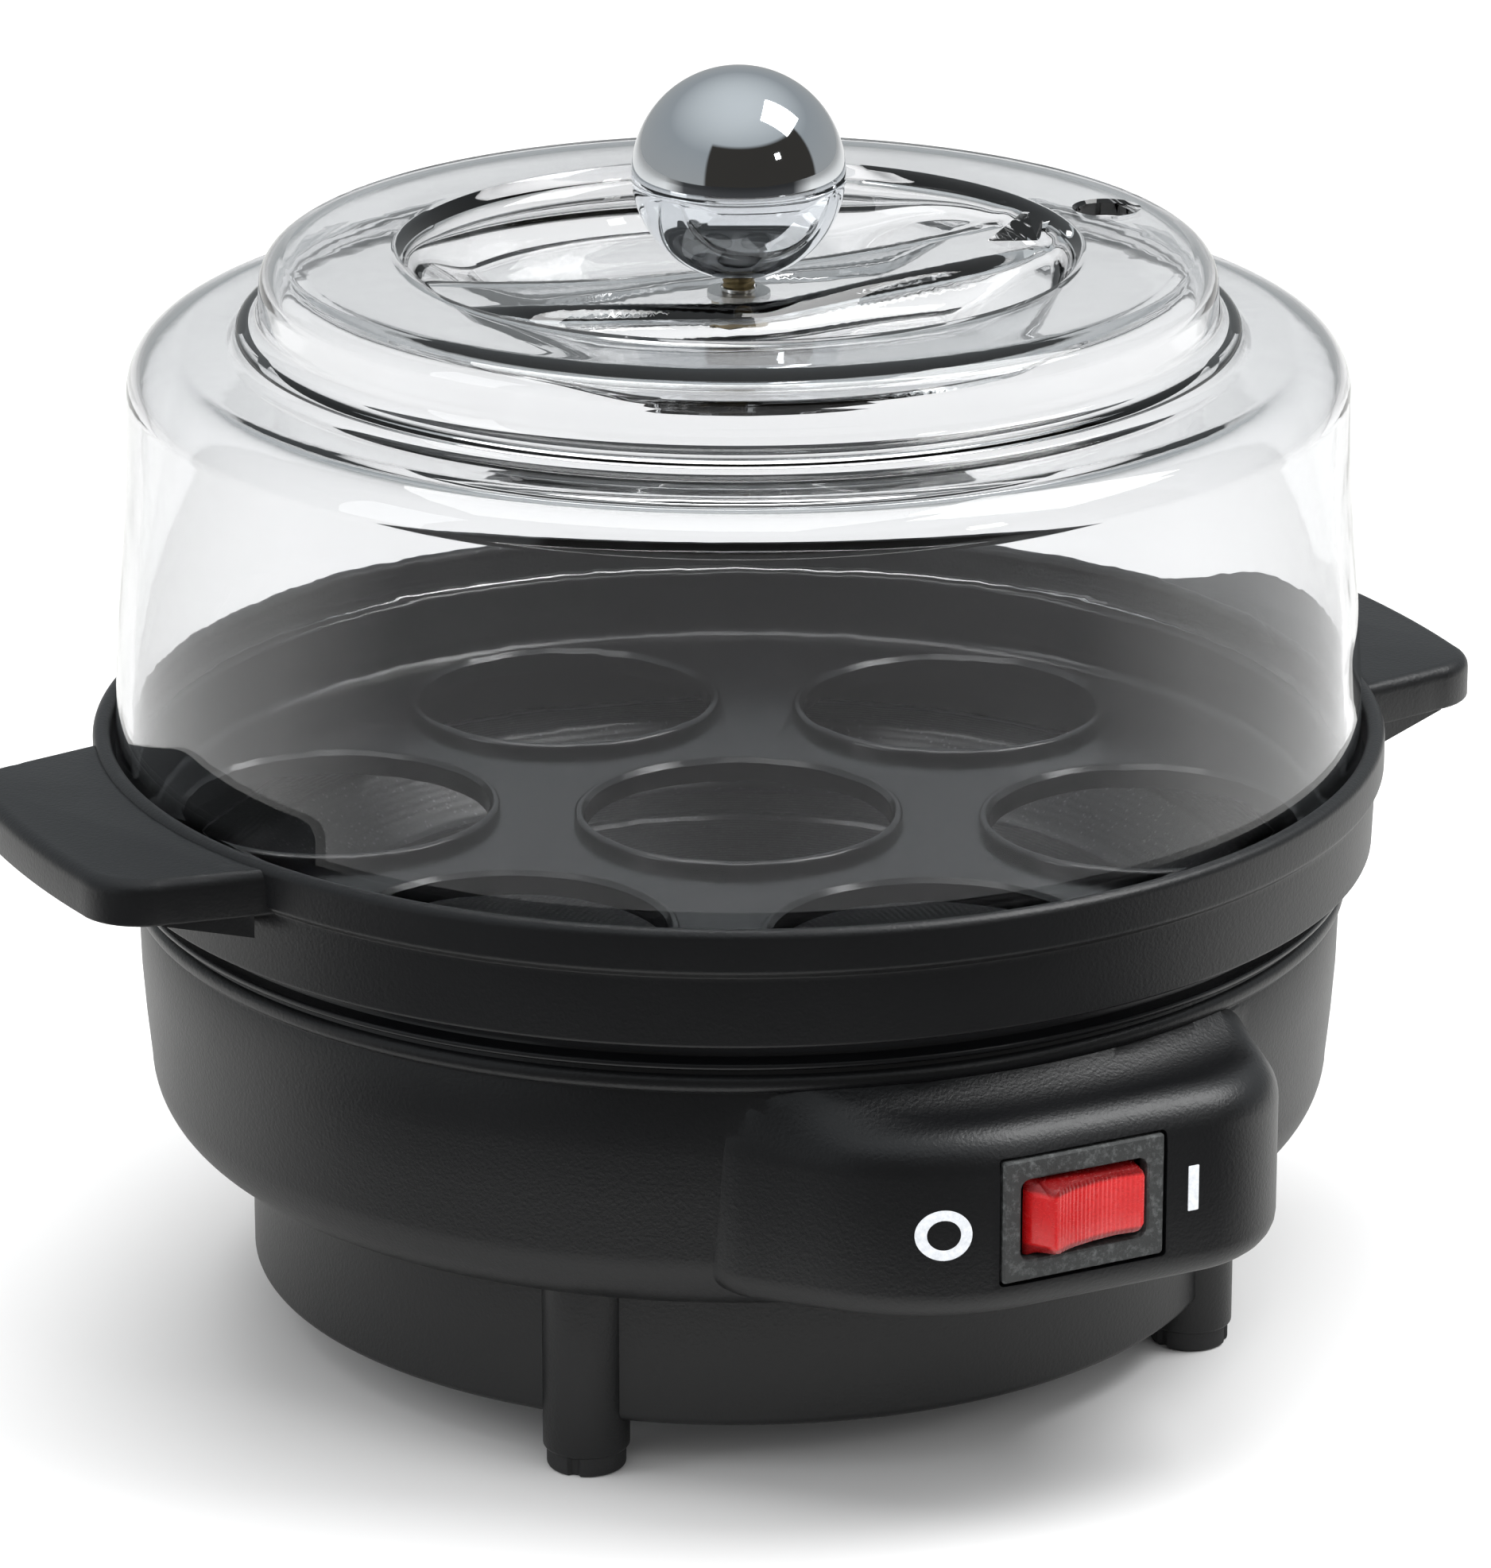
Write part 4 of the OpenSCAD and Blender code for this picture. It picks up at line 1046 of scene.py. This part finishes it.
def handle(side):
    """One side handle with a soft top edge, a small lower edge and a thin wedge under it at the rim."""
    low, high = HANDLE_TOP - HANDLE_T, HANDLE_TOP
    soft, small = 1.7, 0.35
    root_r = RIM_R - 1.2
    rings = []
    for a in (math.radians(30 * i) for i in range(4)):
        rings.append(handle_ring(small * (1 - math.sin(a)), low + small * (1 - math.cos(a)), root_r))
    for a in (math.radians(15 * i) for i in range(7)):
        rings.append(handle_ring(soft * (1 - math.cos(a)), high - soft * (1 - math.sin(a)), root_r))
    grip = loft("handle", rings)
    thin, deep, inset = 0.15, 2.6, 0.5
    near, far = RIM_R - 3, HANDLE_REACH - HANDLE_CORNER
    wedge = loft("wedge", [[(near, s * (HANDLE_ROOT - inset), low + 0.4) for s in (-1, 1)]
                           + [(far, s * (HANDLE_TIP - inset), low + 0.4) for s in (1, -1)],
                           [(near, s * (HANDLE_ROOT - inset), low - deep) for s in (-1, 1)]
                           + [(far, s * (HANDLE_TIP - inset), low - thin) for s in (1, -1)]])
    merged(grip, wedge, "UNION")
    if side < 0:
        moved(grip, about_z(math.pi))
    return grip


def make_tray():
    tray = turn("tray_shell", tray_outline(), TRAY_BLACK)
    for side in (1, -1):
        merged(tray, handle(side), "UNION")
    collar, low, high = 1.4, TRAY_FLOOR - 0.8, TRAY_FLOOR + 1.4
    outline = ([(EGG_HOLE_R - 0.5, low), (EGG_HOLE_R + collar, low), (EGG_HOLE_R + collar, TRAY_FLOOR + 0.5)]
               + arc(EGG_HOLE_R + collar - 0.6, high - 0.6, 0.6, 0, 90, 5) + [(EGG_HOLE_R - 0.5, high)])
    ring = turn("collar", outline, TRAY_BLACK, steps=96)
    middle = turn("middle_collar", outline, TRAY_BLACK, steps=96)
    collars = joined("collars", [round_the_axis(ring, 6, EGG_RING, 30, TRAY_BLACK), middle])
    merged(tray, collars, "UNION")
    wide = EGG_HOLE_R + 0.6
    cutter_line = [(0, low - 4), (EGG_HOLE_R, low - 4), (EGG_HOLE_R, high - 0.6), (wide, high + 0.1),
                   (wide, high + 3), (0, high + 3)]
    cutter = turn("hole", cutter_line, TRAY_BLACK, steps=96)
    holes = joined("holes", [round_the_axis(cutter, 6, EGG_RING, 30, TRAY_BLACK),
                             turn("hole_0", cutter_line, TRAY_BLACK, steps=96)])
    merged(tray, holes, "DIFFERENCE")
    done(tray, TRAY_BLACK, "tray", "tray_plastic", "egg_tray", smooth=32)


# ---- Lid ----

RECESS_R = 41.6
RECESS_FLOOR = PLATEAU_Z - 8
BAR_HALF = 6.2
VENT_AT, VENT_R = 48.7, 3.8
POINTER_AT = 37.8
SCREW_HOLE = 2.2


def lid_top(x, y):
    """Height of the lid's top inside the plateau's edge: a round recess crossed by a sagging bar."""
    radius = np.hypot(x, y)
    sag = 3.2 * np.clip(np.abs(x) / RECESS_R, 0, 1) ** 1.3
    bar = BAR_TOP + sag
    half = BAR_HALF + 2.3 * np.exp(-(x / 11) ** 2)
    beside = smoothstep((np.abs(y) - half) / 3.6)
    inside = smoothstep((RECESS_R - radius) / 3.4)
    ends = 5.2 * smoothstep((np.abs(x) - 22) / 15)
    floor = RECESS_FLOOR + ends
    pocket = bar + (np.minimum(floor, bar) - bar) * beside
    return PLATEAU_Z + (pocket - PLATEAU_Z) * inside


def lid_side():
    """Outside of the lid from the plateau's edge down to the rim, as (radius, height)."""
    shoulder_z = PLATEAU_Z - 10.7
    plateau_r = 57.9
    r100 = LID_R - 1.75
    return (arc(plateau_r - 4, PLATEAU_Z - 4, 4, 80, 0, 10)
            + [(plateau_r + 0.15, PLATEAU_Z - 6.2)]
            + arc(plateau_r + 1.45, PLATEAU_Z - 7.0, 1.2, 170, 265, 5)
            + arc(plateau_r + 1.5, PLATEAU_Z - 9.7, 1.5, 85, 5, 6)
            + [(plateau_r + 3.15, shoulder_z + 0.42), (plateau_r + 3.5, shoulder_z + 0.12)]
            + [(plateau_r + 4.2, shoulder_z), (LID_R - 8.8, shoulder_z - 0.05)]
            + arc(LID_R - 8.5, shoulder_z - 6.05, 6, 88, 3, 14)
            + [(LID_R - 2.4, shoulder_z - 14), (r100, 100), (LID_R - 1.0, 92), (LID_R - 0.45, 84)]
            + [(LID_R - 0.12, 75), (LID_R, SEAT_Z + 0.5)])


def lid_shell():
    """The closed 2 mm wall: outer rings from the knob's hole to the rim, then inner rings back."""
    steps = 216
    top_radii = np.concatenate([np.linspace(SCREW_HOLE, 36, 40), np.linspace(36, 44, 17)[1:],
                                np.linspace(44, 53, 7)[1:]])
    angle = np.arange(steps) * 2 * math.pi / steps
    cos, sin = np.cos(angle), np.sin(angle)
    outer = [(r * cos, r * sin, lid_top(r * cos, r * sin)) for r in top_radii]
    side = lid_side()
    outer += [(r * cos, r * sin, np.full(steps, z)) for r, z in side]
    line = [(float(top_radii[-1]), PLATEAU_Z)] + side
    inner_side = []
    for i in range(1, len(line) - 1):
        dr, dz = line[i + 1][0] - line[i - 1][0], line[i + 1][1] - line[i - 1][1]
        length = math.hypot(dr, dz)
        inner_side.append((line[i][0] + dz / length * LID_WALL, line[i][1] - dr / length * LID_WALL))
    inner_side.append((LID_R - LID_WALL, SEAT_Z + 0.5))
    inner_side = [p for i, p in enumerate(inner_side) if keep_inner(inner_side, i)]
    foot = [(LID_R - 0.4, SEAT_Z + 0.05), (LID_R - LID_WALL + 0.4, SEAT_Z + 0.05)]
    rings = outer + [(r * cos, r * sin, np.full(steps, z)) for r, z in foot]
    rings += [(r * cos, r * sin, np.full(steps, z)) for r, z in reversed(inner_side)]
    rings += [(r * cos, r * sin, lid_top(r * cos, r * sin) - LID_WALL) for r in top_radii[::-1]]
    return loft("lid_shell", [list(zip(*(c.tolist() for c in ring))) for ring in rings], closed=True)


def keep_inner(line, i):
    """Drops offset points that double back inside a tight inner corner."""
    if i == 0 or i == len(line) - 1:
        return True
    (r0, z0), (r1, z1) = line[i - 1], line[i]
    return z1 < z0 + 1e-6 and r1 > r0 - 0.9


def make_lid():
    shell = lid_shell()
    rim = VENT_R + 0.5
    vent = turn("vent", [(0, PLATEAU_Z - 6), (VENT_R, PLATEAU_Z - 6), (VENT_R, PLATEAU_Z - 0.4),
                         (rim, PLATEAU_Z + 0.05), (rim, PLATEAU_Z + 3), (0, PLATEAU_Z + 3)], steps=64)
    merged(shell, moved(vent, at(VENT_AT, 0, 0)), "DIFFERENCE")
    low, high, wide, slim = PLATEAU_Z - 2.6, PLATEAU_Z + 0.4, 5.0, 0.6
    plan = [(1, 0), (0, 1), (-1, 0), (0, -1)]
    pointer = loft("pointer", [[(POINTER_AT + s * x, s * y * 0.85, z) for x, y in plan]
                               for s, z in ((wide, low), (slim, high))])
    merged(shell, pointer, "UNION")
    moved(shell, about_z(LID_TURN))
    done(shell, CLEAR, "lid", "clear_plastic", "lid", smooth=40)


def make_knob():
    bore = 2.05
    start = math.degrees(math.asin(bore / BALL_R))
    depth = BALL_Z + 1.3
    outline = [(0, depth), (bore, depth)] + arc(0, BALL_Z, BALL_R, start - 90, 89.9, 90)
    outline += [(0, BALL_Z + BALL_R)]
    ball = turn("knob_sphere", outline, CHROME, steps=128)
    done(ball, CHROME, "lid", "chrome", "knob_ball", smooth=40)


def make_knob_screw():
    """Screw that holds the ball, with a real thread on the length that shows."""
    low, high = corners("knob_screw")
    radius, pitch, depth, steps = 2.0, 0.7, 0.16, 48
    neck_low, neck_high = low.z + 2, high.z
    angles = np.arange(steps) * 2 * math.pi / steps
    head = [(0.01, low.z), (2.9, low.z), (3.4, low.z + 0.5), (3.4, low.z + 2)]
    rings = [[(r * math.cos(a), r * math.sin(a), z) for a in angles] for r, z in head]
    for z in np.arange(neck_low, neck_high, pitch / 8):
        ring = []
        for a in angles:
            phase = (z / pitch - a / (2 * math.pi)) % 1.0
            r = radius - 0.02 - depth * abs(2 * phase - 1)
            ring.append((r * math.cos(a), r * math.sin(a), z))
        rings.append(ring)
    rings.append([(0.01 * math.cos(a), 0.01 * math.sin(a), neck_high) for a in angles])
    screw = loft("knob_stud", rings)
    slot = loft("driver_slot", [[(x, y, z) for x, y in rounded_box(8, 1, 0.1, 2)]
                                for z in (low.z - 1, low.z + 1)])
    merged(screw, slot, "DIFFERENCE")
    done(screw, BRASS, "lid", "brass", "knob_screw", smooth=30)


# ---- CAD nodes that keep their own shape ----

KEPT = {
    "plate_seal": SILICONE, "heat_spreader": ALUMINIUM, "ring_element": SHEATH, "element_pins": ZINC,
    "plate_studs": ZINC, "stud_washers": ZINC, "stud_nuts": ZINC, "heat_shield": ALUMINISED,
    "thermostat": THERMOSTAT_BODY, "thermostat_blades": BRASS, "thermostat_strap": ZINC, "strap_screws": ZINC,
    "thermal_fuse": FUSE_BODY, "fuse_sleeve": SLEEVE, "fuse_clip": ZINC, "switch_blades": BRASS,
    "rocker_lamp": LAMP, "rocker_plunger": WHITE, "plunger_spring": ZINC, "contact_lever": BRASS,
    "lead_live": BROWN_LEAD, "lead_element": WHITE_LEAD, "lead_fuse": WHITE_LEAD, "knob_washer": ZINC,
}


def paint_kept_nodes():
    for name, finish in KEPT.items():
        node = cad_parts[name]
        if not node.material_slots:
            node.data.materials.append(finish)
        for place in node.material_slots:
            place.material = finish


# ---- Studio ----

def area_light(name, place, target, size, power, color=(1, 1, 1)):
    data = bpy.data.lights.new(name, "AREA")
    data.shape = "RECTANGLE"
    data.size, data.size_y = size
    data.energy = power
    data.color = color
    lamp = bpy.data.objects.new(name, data)
    lamp.location = place
    lamp.rotation_euler = (Vector(target) - Vector(place)).to_track_quat("-Z", "Y").to_euler()
    bpy.context.scene.collection.objects.link(lamp)
    return lamp


def add_floor():
    """A pale sweep. Polished surfaces see it darker, as if the room stopped at its edge: a painted reflection,
    dark in front of the object further out than about 105 mm. Seen through the lid it is painted a darker grey, a
    painted shade.
    """
    size = 4.0
    mesh = bpy.data.meshes.new("floor")
    corner_points = [(-size, -size, 0), (size, -size, 0), (size, size, 0), (-size, size, 0)]
    mesh.from_pydata(corner_points, [], [(0, 1, 2, 3)])
    floor = bpy.data.objects.new("floor", mesh)
    bpy.context.scene.collection.objects.link(floor)
    f = Finish("floor", Roughness=0.7, Specular_IOR_Level=0.1)
    mirrored = f.node("ShaderNodeLightPath", out="Is Glossy Ray")
    passed = f.node("ShaderNodeLightPath", out="Is Transmission Ray")
    paper = f.blend(f.noise(200, detail=2), (0.86, 0.86, 0.86), (0.88, 0.88, 0.88))
    x, y, z = f.axes()
    away = (x * x + y * y + 1).root()
    before = (x * -0.454 + y * -0.891) / away
    # painted reflection: glossy rays see a grey floor, with a dark patch in front of the object
    room = f.blend(before.above(0.1, 0.4) * away.above(105, 45), (0.62, 0.62, 0.61), (0.04, 0.04, 0.042))
    # painted shade: the floor seen through the lid is painted a darker grey
    painted_shade_behind_lid = f.blend(passed, paper, (0.6, 0.6, 0.605))
    f.set("Base Color", f.blend(mirrored * (1 - passed), painted_shade_behind_lid, room))
    floor.data.materials.append(f.material)


def add_surroundings():
    """White behind the object; a grey room with a dark side in reflections."""
    world = bpy.data.worlds.new("studio")
    bpy.context.scene.world = world
    world.use_nodes = True
    tree = world.node_tree
    tree.nodes.clear()
    out = add_node(tree, "ShaderNodeOutputWorld")
    path = add_node(tree, "ShaderNodeLightPath")
    place = add_node(tree, "ShaderNodeTexCoord")
    split = add_node(tree, "ShaderNodeSeparateXYZ", links={0: place.outputs["Generated"]})
    x, y, z = [Value(tree, split.outputs[i]) for i in range(3)]
    level = (x * x + y * y + 0.0001).root()
    dark_side = (0 - y / level).above(0.42, 0.05) * (1 - z.above(0.62, 0.05))
    ramp = add_node(tree, "ShaderNodeValToRGB", links={0: ((z + 1) * 0.5).socket})
    stops = [(0.0, (0.3, 0.31, 0.32, 1)), (0.5, (0.4, 0.415, 0.42, 1)), (0.75, (0.36, 0.39, 0.41, 1)),
             (1.0, (0.74, 0.78, 0.8, 1))]
    while len(ramp.color_ramp.elements) < len(stops):
        ramp.color_ramp.elements.new(0.5)
    for element, (position, color) in zip(ramp.color_ramp.elements, stops):
        element.position = position
        element.color = color
    room = add_node(tree, "ShaderNodeBackground", links={"Color": ramp.outputs[0], "Strength": 1.0})
    dark = add_node(tree, "ShaderNodeBackground", links={"Color": (0.045, 0.042, 0.038, 1), "Strength": 1.0})
    sides = add_node(tree, "ShaderNodeMixShader", links={
        0: dark_side.socket, 1: room.outputs[0], 2: dark.outputs[0]})
    fill = add_node(tree, "ShaderNodeBackground", links={"Color": (0.8, 0.8, 0.8, 1), "Strength": 1.0})
    white = add_node(tree, "ShaderNodeBackground", links={"Color": (1, 1, 1, 1), "Strength": 1.0})
    soft = add_node(tree, "ShaderNodeMixShader", links={
        0: path.outputs["Is Diffuse Ray"], 1: sides.outputs[0], 2: fill.outputs[0]})
    mix = add_node(tree, "ShaderNodeMixShader", links={
        0: path.outputs["Is Camera Ray"], 1: soft.outputs[0], 2: white.outputs[0]})
    tree.links.new(mix.outputs[0], out.inputs[0])


def add_studio():
    add_floor()
    add_surroundings()
    middle = (0, 0, 0.07)
    overhead = area_light("overhead", (-0.1, 0.1, 1.3), middle, (1.3, 1.1), 15)
    overhead.visible_glossy = False
    left = area_light("left_window", (-1.25, 0.1, 0.5), middle, (0.45, 0.9), 3.2, (0.97, 0.985, 1))
    left.visible_glossy = False
    area_light("right_window", (0.6, -0.3, 1.08), middle, (0.6, 0.6), 9)
    area_light("key", (0.42, -1.12, 0.72), middle, (0.14, 0.14), 0.5)
    bpy.context.scene.view_settings.view_transform = "Standard"


# ---- Assembly ----

make_base()
make_marks()
make_cover()
make_tips()
make_screws()
make_gland()
make_plate()
make_bezel()
make_rocker()
make_tray()
make_lid()
make_knob()
make_knob_screw()
paint_kept_nodes()
add_studio()

bpy.context.view_layer.update()
